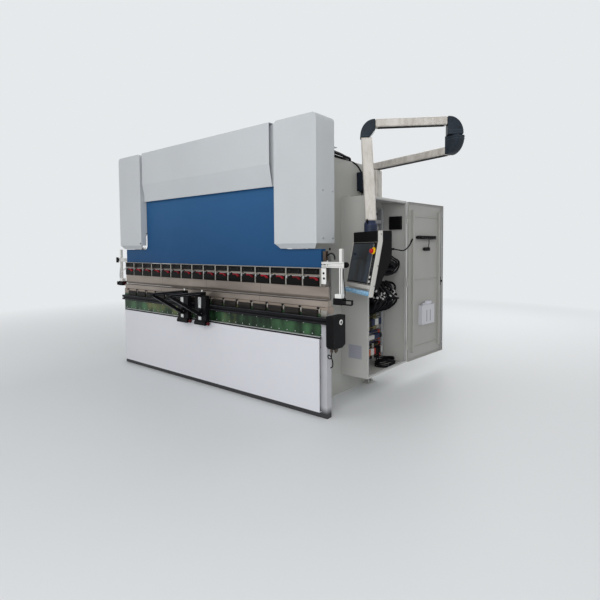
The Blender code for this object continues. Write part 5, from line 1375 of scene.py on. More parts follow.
# Junction box. A dark moulded box with a screwed lid joins the pendant's cables to the
# machine. Three black glands under it let the leads out, and one goes on into the frame.
box_low, box_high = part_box("junction_box")
navy_plastic = moulded("navy_plastic", "1f2530", 0.40)
dress(("junction_box",), navy_plastic)
slab("junction_lid", (box_high.x - 0.0005, box_low.y + 0.006, box_low.z + 0.006),
     (box_high.x + 0.006, box_high.y - 0.006, box_high.z - 0.006), 0.003, "frame", navy_plastic)
wide, tall = box_high.y - box_low.y - 0.036, box_high.z - box_low.z - 0.036
screws("junction_screws", (box_high.x + 0.006, box_low.y + 0.018, box_low.z + 0.018), (1, 0, 0), 0.005,
       0.003, corners((0, wide, 0), (0, 0, tall)), "frame", screw_steel)
gland = turned("gland", ((0, 0.016), (0.008, 0.016), (0.009, 0.013), (0.020, 0.012), (0.024, 0.008)),
               ((box_low.x + box_high.x) / 2, box_low.y + 0.050, box_low.z), (0, 0, -1), 6)
fit(spread("junction_glands", gland, [(0, 0.05, 0), (0, 0.095, 0)]), "frame", black_plastic)
lead_x = (box_low.x + box_high.x) / 2
leads = [cable("lead", [(lead_x, box_low.y + 0.050, box_low.z - 0.020),
                        (lead_x - 0.010, box_low.y + 0.040, box_low.z - 0.050),
                        (frame_high.x + 0.010, box_low.y - 0.020, box_low.z - 0.062),
                        (frame_high.x + 0.006, box_low.y - 0.12, box_low.z - 0.070),
                        (frame_high.x + 0.004, box_low.y - 0.20, box_low.z - 0.105)], 0.0045),
         cable("lead", [(lead_x, box_low.y + 0.100, box_low.z - 0.020),
                        (lead_x, box_low.y + 0.100, box_low.z - 0.055),
                        (lead_x + 0.008, box_low.y + 0.105, cab_high.z + 0.001)], 0.006)]
fit(joined("junction_leads", leads), "frame", black_jacket)
fit(turned("frame_cable_bush", ((0, 0.013), (0.006, 0.013), (0.009, 0.009)),
           (frame_high.x, box_low.y - 0.20, box_low.z - 0.107), (1, 0, 0), 20), "frame", rubber)


# Pendant arm. Two painted box sections, still in their crinkled film, swing on moulded
# elbows. A post on the cabinet carries them, and a square tube hangs from the last elbow.
arm_cream, cream_shader, cream_place = finish("filmed_arm", tint("c9c3bc"), 0.36, coat=0.25, gloss=0.3)
creases = cream_place.stretched(1.0, 1.0, 0.35).noise(26.0, 6.0).share(0.42, 0.58)
soft_clouds = cream_place.noise(5.0, 3.0).share(0.3, 0.7)
(creases * 0.45 + soft_clouds * 0.55).blend(tint("a8a29a"), tint("c6c1bb")).into(cream_shader, "Base Color")
(creases * 0.25 + 0.22).into(cream_shader, "Roughness")
creases.dent(cream_shader, 0.0012)
dress(("arm_post", "lower_arm", "upper_arm", "drop_tube"), arm_cream)
elbow_navy = moulded("elbow_navy", "262d35", 0.42)
elbow_groove = moulded("elbow_groove", "111417", 0.6)
LOWER_TURN = radians(-17.3)
UPPER_TURN = radians(212.5)
LOWER_LENGTH = 1.026
UPPER_LENGTH = 0.779
ELBOW_ARC = 0.1582
ELBOW_BACK = 0.076
ELBOW_HALF = 0.052
lower_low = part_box("lower_arm")[0]
upper_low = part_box("upper_arm")[0]
lower_frame = Matrix.Translation(spot(1.50, 1.12, lower_low.z)) @ Matrix.Rotation(LOWER_TURN, 4, "Z")
elbow_spot = spot(1.50 + LOWER_LENGTH * cos(LOWER_TURN), 1.12 + LOWER_LENGTH * sin(LOWER_TURN), upper_low.z)
upper_frame = Matrix.Translation(elbow_spot) @ Matrix.Rotation(UPPER_TURN, 4, "Z")
ELBOW_REACH = 0.132


def elbow_shell(name, body, arm_frame, start_x, base_z, rise, away, filled):
    """Cast elbow in place of its CAD node: a quarter round that turns an arm up or down."""
    joint_z = base_z + rise * ELBOW_ARC
    low_x, high_x = sorted((start_x, start_x + away * ELBOW_ARC))
    low_z, high_z = sorted((base_z, joint_z))
    shell = block(name + "_shell", (low_x, -ELBOW_HALF, low_z), (high_x, ELBOW_HALF, high_z))

    def outer(middle, along):
        return abs(along.y) > 0.9 and abs(middle.x - start_x) > 0.1 and abs(middle.z - base_z) < 0.01

    def inner(middle, along):
        return abs(along.y) > 0.9 and abs(middle.x - start_x) < 0.01 and abs(middle.z - joint_z) < 0.01

    bevelled(shell, ELBOW_ARC - 0.012, 14, outer)
    if not filled:
        bevelled(shell, 0.062, 1, inner)
    shorter = Matrix.Diagonal((ELBOW_REACH / ELBOW_ARC, 1, 1, 1))
    from_start = Matrix.Translation((-start_x, 0, 0))
    shell.data.transform(Matrix.Translation((start_x, 0, 0)) @ shorter @ from_start)
    shell = rounded(shell, 0.005, 3, 50)
    fit(placed(shell, arm_frame), body, elbow_navy, angle=40)
    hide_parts(name)
    bands = []
    for back in (0.014, 0.034) if filled else (0.010,):
        middle_z = joint_z - rise * back
        low_x, high_x = sorted((start_x + away * (0.008 if filled else 0.052),
                                start_x + away * (ELBOW_REACH + 0.0005)))
        band = block("band", (low_x, -ELBOW_HALF - 0.0008, middle_z - 0.0020),
                     (high_x, ELBOW_HALF + 0.0008, middle_z + 0.0020))
        bands.append(rounded(band, 0.0010, 1))
    bands = joined(name + "_bands", bands)
    fit(placed(bands, arm_frame), body, elbow_rib)
    screws = []
    for side in (-1, 1):
        for angle in (20, 62):
            reach = ELBOW_REACH - 0.024
            place = Vector((start_x + away * reach * sin(radians(angle)), side * ELBOW_HALF,
                            joint_z - rise * (reach + 0.018) * cos(radians(angle))))
            screws.append(screw("elbow_screw", place, (0, side, 0), 0.006, 0.003))
    heads = joined(name + "_screws", screws)
    fit(placed(heads, arm_frame), body, black_screw)


elbow_rib = moulded("elbow_rib", "3c4650", 0.36)
elbow_shell("lower_elbow", "lower_arm", lower_frame, LOWER_LENGTH - ELBOW_BACK, 0.0, 1, 1, True)
elbow_shell("upper_elbow", "upper_arm", upper_frame, ELBOW_BACK, 0.070, -1, -1, True)
elbow_shell("drop_elbow", "upper_arm", upper_frame, UPPER_LENGTH - ELBOW_BACK, 0.070, -1, 1, False)
# Painted shade: a dark strip along each arm's underside.
for body, arm_frame, start, length in (("lower_arm", lower_frame, 0.07, LOWER_LENGTH),
                                       ("upper_arm", upper_frame, 0.10, UPPER_LENGTH)):
    underside_shade = block(body + "_underside_shade", (start, -0.026, -0.003), (length - 0.10, 0.026, 0.002))
    recessed(underside_shade, (0, 0, -1), 0.006, (0, 0, 0.002))
    underside_shade.data.transform(arm_frame)
    fit(rounded(underside_shade, 0.0008, 1), body, elbow_groove)
fit(turned("elbow_bearing", ((-0.001, 0.050), (0.001, 0.050)),
           (elbow_spot.x, elbow_spot.y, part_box("lower_elbow")[1].z), (0, 0, 1), 32), "lower_arm", rubber)
post_low, post_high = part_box("arm_post")
slab("post_flange", (post_low.x - 0.020, post_low.y - 0.020, post_low.z + 0.0002),
     (post_high.x + 0.020, post_high.y + 0.020, post_low.z + 0.010), 0.002, "frame", arm_cream)
wide, deep = post_high.x - post_low.x + 0.020, post_high.y - post_low.y + 0.020
screws("post_flange_screws", (post_low.x - 0.010, post_low.y - 0.010, post_low.z + 0.010), (0, 0, 1), 0.007,
       0.005, corners((wide, 0, 0), (0, deep, 0)), "frame", screw_steel)


# Console. A black moulded housing leans back under a swivel coupling. It has a screen behind glass in a thin
# bright bezel, a stop button, two keys, a brushed lip and filmed blue grab bar. The screen's glass carries
# painted reflections, and the grab bar's film painted highlights.
CONSOLE_TURN = radians(-34)
CONSOLE_FRONT = -0.0565
CONSOLE_BROW = 0.092
CONSOLE_HEIGHT = 0.502
CONSOLE_SLOPE = 0.0796
CONSOLE_HALF = 0.257
coupling_low, coupling_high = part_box("console_coupling")
axis_spot = (coupling_low + coupling_high) / 2
housing_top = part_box("console_housing")[1].z
console_place = Matrix.Translation((axis_spot.x, axis_spot.y, housing_top))
console_frame = console_place @ Matrix.Rotation(CONSOLE_TURN, 4, "Z")
lean = Matrix.Rotation(-atan2(CONSOLE_SLOPE, CONSOLE_HEIGHT - CONSOLE_BROW), 4, "X")
coupling_navy = moulded("coupling_navy", "30374c", 0.32)
dress(("console_coupling",), coupling_navy)
panel_frame = console_frame @ Matrix.Translation((0, CONSOLE_FRONT, -CONSOLE_BROW)) @ lean
console_black = moulded("console_black", "0f0e0f", 0.50)
dress(("console_housing",), console_black)
brushed = metal("brushed_aluminium", "b3b1ac", 0.38, grain=(1, 1, 0.05), spread_by=0.06, metallic=0.4)
dress(("console_bar_left", "console_bar_right"), brushed)


def on_console(piece, material):
    """Fixes a piece that was made about the housing's top middle to the console."""
    return fit(placed(piece, console_frame), "console", material)


def on_panel(name, low, high, width=0.001, segments=1):
    """Block on the sloping panel: across it, out of it and down it, from the brow's middle."""
    piece = block(name, (low[0], -high[1], -high[2]), (high[0], -low[1], -low[2]))
    piece = rounded(piece, width, segments)
    piece.data.transform(panel_frame)
    return piece


PANEL_LENGTH = 0.4176
half = CONSOLE_HALF
frame_bars = [on_panel("bezel", (-half + 0.012, -0.001, 0.004),
                       (-half + 0.016, 0.0025, PANEL_LENGTH - 0.040)),
              on_panel("bezel", (half - 0.064, -0.001, 0.020),
                       (half - 0.061, 0.0025, PANEL_LENGTH - 0.040)),
              on_panel("bezel", (-half + 0.012, -0.001, 0.004), (half - 0.010, 0.0020, 0.007)),
              on_panel("bezel", (-half + 0.012, -0.001, PANEL_LENGTH - 0.044),
                       (half - 0.008, 0.0025, PANEL_LENGTH - 0.041))]
fit(joined("console_bezel", frame_bars), "console", brushed)
glass, glass_shader, glass_place = finish("screen_glass", tint("15181d"), 0.12, coat=0.4, gloss=0.5)
# Painted reflections: lighter bluish streaks across the dark glass.
bands = glass_place.stretched(1.0, 1.0, 0.1).noise(9.0, 2.0).share(0.35, 0.7)
bands.blend(tint("121417"), tint("364252")).into(glass_shader, "Base Color")
(glass_place.noise(30.0, 3.0) * 0.12 + 0.08).into(glass_shader, "Roughness")
screen = on_panel("console_screen", (-half + 0.026, -0.001, 0.016),
                  (half - 0.072, 0.0014, PANEL_LENGTH - 0.056))
fit(screen, "console", glass)
tray = on_panel("console_key_field", (half - 0.058, -0.001, 0.125),
                (half - 0.010, 0.001, PANEL_LENGTH - 0.050))
fit(tray, "console", elbow_groove)
key_white = moulded("key_white", "d8d6d0", 0.4)
keys = [on_panel("key", (half - 0.045, 0.0, drop), (half - 0.023, 0.006, drop + 0.020), 0.004, 2)
        for drop in (0.300, 0.340)]
fit(joined("console_keys", keys), "console", key_white)
dark_keys = [on_panel("key", (half - 0.052 + 0.018 * (index % 2), 0.0, 0.150 + 0.024 * (index // 2)),
                      (half - 0.038 + 0.018 * (index % 2), 0.003, 0.166 + 0.024 * (index // 2)), 0.0012, 1)
             for index in range(10)]
fit(joined("console_small_keys", dark_keys), "console", slot_dark)
lip = on_panel("console_lip", (-half + 0.004, -0.001, PANEL_LENGTH - 0.036),
               (half - 0.004, 0.004, PANEL_LENGTH - 0.002), 0.0015, 2)
fit(lip, "console", metal("lip_aluminium", "cfccc7", 0.40, grain=(0.05, 1, 1), spread_by=0.05,
                          metallic=0.3))
stop_yellow = moulded("stop_yellow", "e0b21c", 0.4)
collar = turned("stop_collar", ((0, 0.031), (0.007, 0.031), (0.012, 0.024), (0.012, 0.014), (0.016, 0.013)),
                (0, 0, 0), (0, -1, 0), 32)
collar_place = Matrix.Translation((half - 0.050, 0, -0.0815))
fit(placed(collar, panel_frame @ collar_place), "console", stop_yellow)
stop_red, stop_shader, stop_place = finish("stop_red", tint("b5161a"), 0.3)
stop_clouds = stop_place.noise(18.0, 3.0).share(0.3, 0.7)
stop_clouds.blend(tint("a81317"), tint("c21a1e")).into(stop_shader, "Base Color")
dress(("stop_button",), stop_red)
dome = turned("stop_dome", ((0, 0.019), (0.004, 0.017), (0.006, 0.012), (0.007, 0.005)), (0, 0, 0),
              (0, -1, 0), 32)
dome_place = Matrix.Translation((half - 0.050, CONSOLE_FRONT - 0.0155 - 0.030, -0.172))
fit(placed(dome, console_frame @ dome_place), "console", stop_red)
brow_groove = block("brow_groove", (-half + 0.002, CONSOLE_FRONT - 0.0012, -CONSOLE_BROW + 0.004),
                    (half - 0.002, CONSOLE_FRONT + 0.002, -CONSOLE_BROW + 0.007))
on_console(brow_groove, elbow_groove)
film_blue, film_shader, film_place = finish("filmed_grab_bar", tint("6fb0dc"), 0.3, coat=0.3)
# Painted highlights: the film's wrinkles run from blue to near white. The bump is their real relief.
wrinkles_and_highlights = film_place.noise(70.0, 5.0).share(0.4, 0.62)
wrinkles_and_highlights.blend(tint("62abe0"), tint("b7dcf2")).into(film_shader, "Base Color")
wrinkles_and_highlights.dent(film_shader, 0.0015)
dress(("grab_bar",), film_blue)
vents = [block("vent", (half - 0.0005, -0.035 + 0.012 * index, -0.075),
               (half + 0.0014, -0.029 + 0.012 * index, -0.030)) for index in range(8)]
vents += [block("vent", (-half - 0.0014, -0.035 + 0.012 * index, -0.075),
                (-half + 0.0005, -0.029 + 0.012 * index, -0.030)) for index in range(8)]
vent_piece = joined("console_vents", vents)
on_console(vent_piece, elbow_groove)
back_plate = block("console_back_plate", (-half + 0.03, 0.0765 - 0.0005, -0.225),
                   (half - 0.03, 0.0765 + 0.004, -0.020))
recessed(back_plate, (0, 1, 0), 0.012, (0, -0.002, 0))
back_plate = rounded(back_plate, 0.0015)
on_console(back_plate, console_black)
plate_screws = screw("plate_screw", (-half + 0.036, 0.0805, -0.219), (0, 1, 0), 0.004, 0.002)
plate_screws = spread("console_back_screws", plate_screws, corners((2 * half - 0.072, 0, 0), (0, 0, 0.193)))
on_console(plate_screws, black_screw)
bar_screws = []
for side in (-1, 1):
    for drop_z, back_y in ((-0.030, -0.045), (-0.300, -0.078), (-0.470, -0.112)):
        bar_screws.append(screw("bar_screw", (side * (half + 0.0143), back_y + 0.012, drop_z), (side, 0, 0),
                                0.0045, 0.0025))
bar_screws = joined("console_bar_screws", bar_screws)
on_console(bar_screws, black_screw)
lever_stem = turned("coupling_lever",
                    ((0, 0.005), (0.020, 0.005), (0.022, 0.008), (0.050, 0.007), (0.054, 0.004)),
                    (0.030, -0.044, 0.062), (0.35, -0.3, 1), 14)
on_console(lever_stem, black_plastic)
grooves = [turned("ring", ((0, 0.0605), (0.003, 0.0605)), (0, 0, 0.014 + 0.016 * index), (0, 0, 1), 32)
           for index in range(3)]
ring_piece = joined("coupling_rings", grooves)
on_console(ring_piece, elbow_groove)
plug = turned("console_plug", ((0, 0.013), (0.010, 0.013), (0.012, 0.010), (0.034, 0.010), (0.036, 0.007)),
              (0, 0, 0), (0, 0, 1), 16)
socket_place = console_frame @ Vector((half - 0.030, 0.0765, -0.158))
out = (console_frame.to_3x3() @ Vector((0.15, 1, 0))).normalized()
aimed(plug, socket_place, out)
start = socket_place + out * 0.030
pigtail_end = start + Vector((0.135, 0.070, 0.075))
pigtail = cable("pigtail",
                [start, start + out * 0.030 + Vector((0.015, 0, -0.008)),
                 start + Vector((0.070, 0.045, -0.012)),
                 start + Vector((0.108, 0.060, 0.020)), pigtail_end], 0.0055, 2)
pigtail_cap = turned("pigtail_cap", ((-0.020, 0.0075), (0.010, 0.0075), (0.014, 0.005)), pigtail_end,
                     (0.35, 0.15, 1), 14)
fit(joined("console_pigtail", [plug, pigtail, pigtail_cap]), "console", black_plastic)


# Oil tank. A welded box ties the frames together at the top. It has a screwed service lid,
# a breather, a sight glass, two round clean-out covers behind and a drain plug below.
tank_low, tank_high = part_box("oil_tank")
tank_mid = (tank_low + tank_high) / 2
dress(("oil_tank",), frame_paint)
slab("tank_lid", (tank_mid.x + 0.60, tank_low.y + 0.07, tank_high.z - 0.0005),
     (tank_mid.x + 1.16, tank_high.y - 0.05, tank_high.z + 0.006), 0.002, "frame", frame_paint)
steps = [(0.1275 * column, 0.280 * row, 0) for column in range(5) for row in range(2) if column or row]
screws("tank_lid_screws", (tank_mid.x + 0.625, tank_low.y + 0.095, tank_high.z + 0.006), (0, 0, 1), 0.007,
       0.005, steps, "frame", screw_steel)
fit(turned("tank_breather",
           ((0, 0.030), (0.010, 0.030), (0.012, 0.022), (0.030, 0.022), (0.034, 0.036), (0.070, 0.036),
            (0.078, 0.028)), (tank_mid.x - 0.85, tank_mid.y + 0.05, tank_high.z), (0, 0, 1), 28), "frame",
    black_plastic)
slab("tank_sight_plate", (tank_mid.x - 0.90, tank_high.y - 0.0005, tank_low.z + 0.110),
     (tank_mid.x - 0.86, tank_high.y + 0.008, tank_low.z + 0.290), 0.004, "frame", aluminium)
gauge_glass = block("tank_sight_glass", (tank_mid.x - 0.887, tank_high.y + 0.004, tank_low.z + 0.130),
                    (tank_mid.x - 0.873, tank_high.y + 0.0095, tank_low.z + 0.270))
oil_amber = moulded("oil_amber", "b98a2e", 0.15, depth=0.0)
fit(rounded(gauge_glass, 0.002), "frame", oil_amber)
for index, along in enumerate((-0.45, 0.45)):
    place = Vector((tank_mid.x + along, tank_high.y, tank_mid.z))
    fit(turned("tank_cover_%d" % (index + 1),
               ((-0.0005, 0.125), (0.010, 0.125), (0.013, 0.121), (0.013, 0.060), (0.011, 0.056),
                (0.011, 0.020)), place, (0, 1, 0), 40), "frame", frame_paint)
    bolts = []
    bolt = screw("bolt", (0, 0, 0), (0, 1, 0), 0.008, 0.006)
    for turn in range(8):
        step = Matrix.Rotation(turn * pi / 4, 4, "Y") @ Vector((0, 0, 0.108))
        bolts.append(copied(bolt, place + Vector((0, 0.013, 0)) + step))
    discard(bolt)
    fit(joined("tank_cover_bolts_%d" % (index + 1), bolts), "frame", screw_steel)
fit(turned("tank_drain", ((0, 0.020), (0.010, 0.020), (0.010, 0.014), (0.026, 0.014)),
           (tank_mid.x - 0.3, tank_mid.y, tank_low.z), (0, 0, -1), 6), "frame", screw_steel)
eyes = []
for along in (-1.20, 1.20):
    for back in (0.10, 0.36):
        bpy.ops.object.select_all(action="DESELECT")
        eye_place = (tank_mid.x + along * 0.97, tank_low.y + back, tank_high.z + 0.036)
        bpy.ops.mesh.primitive_torus_add(major_radius=0.026, minor_radius=0.007,
                                         major_segments=20, minor_segments=8,
                                         location=eye_place, rotation=(radians(90), 0, 0))
        bpy.ops.object.transform_apply()
        eyes.append(bpy.context.object)
        stem = turned("stem", ((0, 0.018), (0.006, 0.018), (0.012, 0.010)),
                      (tank_mid.x + along * 0.97, tank_low.y + back, tank_high.z - 0.0005), (0, 0, 1), 20)
        eyes.append(stem)
fit(joined("tank_lifting_eyes", eyes), "frame", screw_steel)
seams = []
for edge_x in (tank_low.x, tank_high.x):
    for edge_z in (tank_low.z, tank_high.z):
        bead = turned("bead", ((0, 0.005), (tank_high.y - tank_low.y - 0.03, 0.005)),
                      (edge_x, tank_low.y + 0.015, edge_z), (0, 1, 0), 8)
        seams.append(bead)
fit(joined("tank_welds", seams), "frame", frame_paint)


# Pump motor. A finned cast motor lies on the tank on two feet. A pressed cowl covers its
# fan, a terminal box stands on it, and the bell housing at its nose joins it to the pump.
motor_blue = enamel("motor_enamel", "3a4653", 0.40, cloud=0.10)
dress(("pump_motor",), motor_blue)
motor_mid = spot(0.25, 0.525, 2.51)
fin = block("fin", (-0.150, -0.0022, 0.108), (0.150, 0.0022, 0.1165))
fins = []
for turn in range(36):
    if 13 < turn < 23:
        continue
    blade = copied(fin, (0, 0, 0))
    blade.data.transform(Matrix.Translation(motor_mid) @ Matrix.Rotation(turn * 2 * pi / 36, 4, "X"))
    fins.append(blade)
discard(fin)
fit(joined("motor_fins", fins), "frame", motor_blue)
fit(turned("motor_fan_cowl",
           ((0.150, 0.114), (0.152, 0.116), (0.212, 0.116), (0.222, 0.106), (0.223, 0.030)), motor_mid,
           (1, 0, 0), 40), "frame", motor_blue)
rings = [turned("ring", ((0.2222, size), (0.2245, size), (0.2245, size - 0.004)), motor_mid, (1, 0, 0), 36)
         for size in (0.094, 0.078, 0.062, 0.046)]
fit(joined("motor_cowl_slots", rings), "frame", black_plastic)
fit(turned("motor_bell", ((0.190, 0.112), (0.206, 0.112), (0.210, 0.075), (0.236, 0.072)), motor_mid,
           (-1, 0, 0), 36), "frame", motor_blue)
slab("motor_terminal_box", motor_mid + Vector((-0.055, -0.050, 0.100)),
     motor_mid + Vector((0.055, 0.050, 0.158)), 0.005, "frame", motor_blue)
screws("motor_terminal_screws", motor_mid + Vector((-0.044, -0.039, 0.158)), (0, 0, 1), 0.004, 0.003,
       corners((0.088, 0, 0), (0, 0.078, 0)), "frame", screw_steel)
fit(cable("motor_lead", [motor_mid + Vector((0.055, 0.020, 0.125)),
                         motor_mid + Vector((0.110, 0.024, 0.128)),
                         motor_mid + Vector((0.230, 0.060, 0.060)), spot(0.62, 0.62, 2.395),
                         spot(1.00, 0.66, 2.392), spot(1.27, 0.74, 2.40), spot(1.31, 0.86, 2.428),
                         spot(1.36, 0.96, 2.40), spot(1.385, 1.03, 2.325)], 0.009), "frame", black_jacket)
feet = screw("foot_bolt", motor_mid + Vector((-0.100, -0.072, -0.1293)), (0, 0, 1), 0.009, 0.008)
ears = block("ear", motor_mid + Vector((-0.118, -0.092, -0.1295)),
             motor_mid + Vector((-0.082, 0.092, -0.118)))
fit(spread("motor_foot_bars", rounded(ears, 0.003), [(0.200, 0, 0)]), "frame", motor_blue)
feet.data.transform(Matrix.Translation((0, -0.012, 0.0113)))
fit(spread("motor_foot_bolts", feet, corners((0.2, 0, 0), (0, 0.168, 0))), "frame", screw_steel)


# Valve block. A drilled steel manifold carries four solenoid valves and a pressure gauge.
# Black hoses with crimped ends run from it to both cylinders.
valve_low, valve_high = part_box("valve_block")
manifold = metal("manifold_steel", "8f8f8c", 0.42, spread_by=0.1, metallic=0.6)
dress(("valve_block",), manifold)
for index in range(4):
    along = valve_low.x + 0.045 + 0.070 * index
    body = block("body", (along - 0.024, valve_low.y + 0.020, valve_high.z - 0.0005),
                 (along + 0.024, valve_high.y - 0.020, valve_high.z + 0.045))
    coil = block("coil", (along - 0.021, valve_high.y - 0.022, valve_high.z + 0.004),
                 (along + 0.021, valve_high.y + 0.035, valve_high.z + 0.041))
    plug = block("plug", (along - 0.014, valve_high.y - 0.010, valve_high.z + 0.041),
                 (along + 0.014, valve_high.y + 0.022, valve_high.z + 0.066))
    knob = turned("knob", ((0, 0.011), (0.010, 0.011), (0.012, 0.008)),
                  (along, valve_high.y + 0.035, valve_high.z + 0.0225), (0, 1, 0), 16)
    valve = joined("solenoid_valve_%d" % (index + 1),
                   [painted(rounded(body, 0.003), manifold), painted(rounded(coil, 0.004), black_plastic),
                    painted(rounded(plug, 0.003), device_grey), painted(knob, screw_steel)])
    fit(valve, "frame")
gauge = turned("pressure_gauge",
               ((0, 0.032), (0.022, 0.032), (0.026, 0.030), (0.026, 0.026), (0.023, 0.025)),
               (valve_low.x + 0.15, valve_low.y - 0.030, valve_high.z + 0.045), (0, -1, 0), 32)
stem = turned("gauge_stem", ((0, 0.008), (0.060, 0.008)),
              (valve_low.x + 0.15, valve_low.y - 0.018, valve_high.z + 0.014), (0, 0, -1), 12)
elbow = block("gauge_foot", (valve_low.x + 0.14, valve_low.y - 0.028, valve_high.z - 0.055),
              (valve_low.x + 0.16, valve_low.y + 0.002, valve_high.z - 0.036))
fit(joined("pressure_gauge", [gauge, stem, rounded(elbow, 0.002)]), "frame", screw_steel)
fit(turned("gauge_dial", ((0.0226, 0.0249), (0.0236, 0.0249)),
           (valve_low.x + 0.15, valve_low.y - 0.030, valve_high.z + 0.045), (0, -1, 0), 32), "frame",
    key_white)
fit(block("gauge_needle", (valve_low.x + 0.1495, valve_low.y - 0.0546, valve_high.z + 0.044),
          (valve_low.x + 0.1510, valve_low.y - 0.0532, valve_high.z + 0.063)), "frame", device_red)
for side, away in (("left", -1), ("right", 1)):
    for index, rise in enumerate((0.055, 0.110)):
        port_x = valve_low.x if away < 0 else valve_high.x
        port = Vector((port_x, valve_low.y + 0.045 + 0.05 * index, valve_low.z + rise))
        end_port = spot(away * 1.235, 0.075 + 0.03 * index, 2.335 - 0.07 * index)
        fitting = turned("fitting",
                         ((0, 0.016), (0.014, 0.016), (0.015, 0.012), (0.040, 0.012), (0.041, 0.010)), port,
                         (away, 0, 0), 6)
        if away > 0:
            points = [port + Vector((0.040, 0, 0)), spot(-0.08, 0.44 - 0.03 * index, 2.405 + 0.035 * index),
                      spot(0.10, 0.36 - 0.03 * index, 2.398),
                      spot(0.60, 0.34 - 0.03 * index, 2.397), spot(1.02, 0.30 - 0.03 * index, 2.40),
                      spot(1.14, 0.235, 2.385 - 0.02 * index),
                      spot(1.205, 0.165, 2.345 - 0.06 * index), end_port]
        else:
            points = [port + Vector((-0.040, 0, 0)), spot(-0.60, 0.42 - 0.03 * index, 2.405 + 0.02 * index),
                      spot(-0.90, 0.34 - 0.03 * index, 2.398),
                      spot(-1.04, 0.30 - 0.03 * index, 2.40), spot(-1.14, 0.235, 2.385 - 0.02 * index),
                      spot(-1.205, 0.165, 2.345 - 0.06 * index), end_port]
        hose = cable("hose", points, OIL_HOSE)
        fit(joined("cylinder_hose_%s_%d" % (side, index + 1),
                   [painted(fitting, screw_steel), painted(hose, black_jacket)]), "frame")


# Back gauge. Two rails carry a cross beam with two stop fingers. Ground screws beside the
# rails drive it, motors sit behind the rear tie, and a cable chain feeds the beam.
dress(("rear_tie", "gauge_rail_left", "gauge_rail_right"), frame_paint)
gauge_paint = enamel("gauge_enamel", "3b3d40", 0.42, cloud=0.08)
dress(("gauge_beam",), gauge_paint)
ground_gauge = metal("ground_gauge_steel", "a7a6a3", 0.34, grain=(1, 0.05, 1))
dress(("gauge_finger_left", "gauge_finger_right"), ground_gauge)
tie_low, tie_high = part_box("rear_tie")
for side, away in (("left", -1), ("right", 1)):
    rail_low, rail_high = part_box("gauge_rail_" + side)
    inner = rail_high.x if away < 0 else rail_low.x
    low_x, high_x = sorted((inner, inner - away * 0.016))
    slab("gauge_guide_" + side, (low_x, rail_low.y + 0.05, rail_high.z - 0.050),
         (high_x, rail_high.y - 0.06, rail_high.z - 0.026), 0.002, "frame", ground_gauge)
    screw_x = inner - away * 0.048
    fit(turned("gauge_spindle_" + side,
               ((0, 0.008), (0.02, 0.008), (0.021, 0.0125), (0.86, 0.0125), (0.861, 0.008), (0.90, 0.008)),
               (screw_x, rail_low.y + 0.08, rail_high.z - 0.038), (0, 1, 0), 20), "frame", ground_gauge)
    bearings = []
    for along in (0.085, 0.930):
        low_x, high_x = sorted((inner, inner - away * 0.078))
        bearing = block("bearing", (low_x, rail_low.y + along, rail_high.z - 0.072),
                        (high_x, rail_low.y + along + 0.034, rail_high.z - 0.006))
        bearings.append(painted(rounded(bearing, 0.003), gauge_paint))
        for drop in (0.060, 0.018):
            bolt = screw("bolt", ((low_x + high_x) / 2 - away * 0.022, rail_low.y + along + 0.034,
                                  rail_high.z - drop), (0, 1, 0), 0.005, 0.004)
            bearings.append(painted(bolt, screw_steel))
    fit(joined("gauge_bearings_" + side, bearings), "frame")
    nut_low, nut_high = sorted((inner - away * 0.006, inner - away * 0.080))
    slab("gauge_nut_" + side, (nut_low, spot(0, 0.640, 0).y, rail_high.z - 0.066),
         (nut_high, spot(0, 0.720, 0).y, rail_high.z + 0.001), 0.004, "frame", gauge_paint)
    servo_low, servo_high = sorted((inner - away * 0.004, inner - away * 0.088))
    servo = block("servo", (servo_low, tie_high.y - 0.12, rail_high.z + 0.004),
                  (servo_high, tie_high.y + 0.03, rail_high.z + 0.090))
    belt_case = block("belt_case", (servo_low, tie_high.y - 0.040, rail_high.z - 0.085),
                      (servo_high, tie_high.y + 0.010, rail_high.z + 0.096))
    flange = block("servo_cap", (servo_low + 0.006, tie_high.y - 0.162, rail_high.z + 0.010),
                   (servo_high - 0.006, tie_high.y - 0.119, rail_high.z + 0.084))
    drive = joined("gauge_drive_" + side,
                   [painted(rounded(servo, 0.004), black_plastic),
                    painted(rounded(belt_case, 0.006), gauge_paint),
                    painted(rounded(flange, 0.008), black_plastic)])
    fit(drive, "frame")
    finger_low, finger_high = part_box("gauge_finger_" + side)
    finger_mid = (finger_low + finger_high) / 2
    slab("gauge_tip_" + side, (finger_low.x + 0.008, finger_low.y - 0.006, finger_low.z + 0.002),
         (finger_high.x - 0.008, finger_low.y, finger_low.z + 0.030), 0.001, "frame", upright_steel)
    slab("gauge_saddle_" + side, (finger_low.x - 0.012, finger_high.y - 0.110, finger_low.z - 0.001),
         (finger_high.x + 0.012, finger_high.y + 0.006, finger_high.z + 0.006), 0.004, "frame", gauge_paint)
    fit(turned("gauge_knob_" + side,
               ((0, 0.006), (0.014, 0.006), (0.016, 0.019), (0.032, 0.020), (0.036, 0.014)),
               (finger_mid.x, finger_high.y - 0.05, finger_high.z + 0.005), (0, 0, 1), 20), "frame",
        black_plastic)
    fit(screw("gauge_tip_screw_" + side, (finger_mid.x, finger_low.y + 0.035, finger_high.z - 0.0195),
              (0, 0, 1), 0.008, 0.007), "frame", screw_steel)
gauge_low, gauge_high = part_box("gauge_beam")
for index, rise in enumerate((0.030, 0.075)):
    fit(block("gauge_beam_strip_%d" % (index + 1),
              (gauge_low.x + 0.02, gauge_low.y - 0.0015, gauge_low.z + rise),
              (gauge_high.x - 0.02, gauge_low.y + 0.001, gauge_low.z + rise + 0.012)), "frame",
        aluminium if index else ground_gauge)
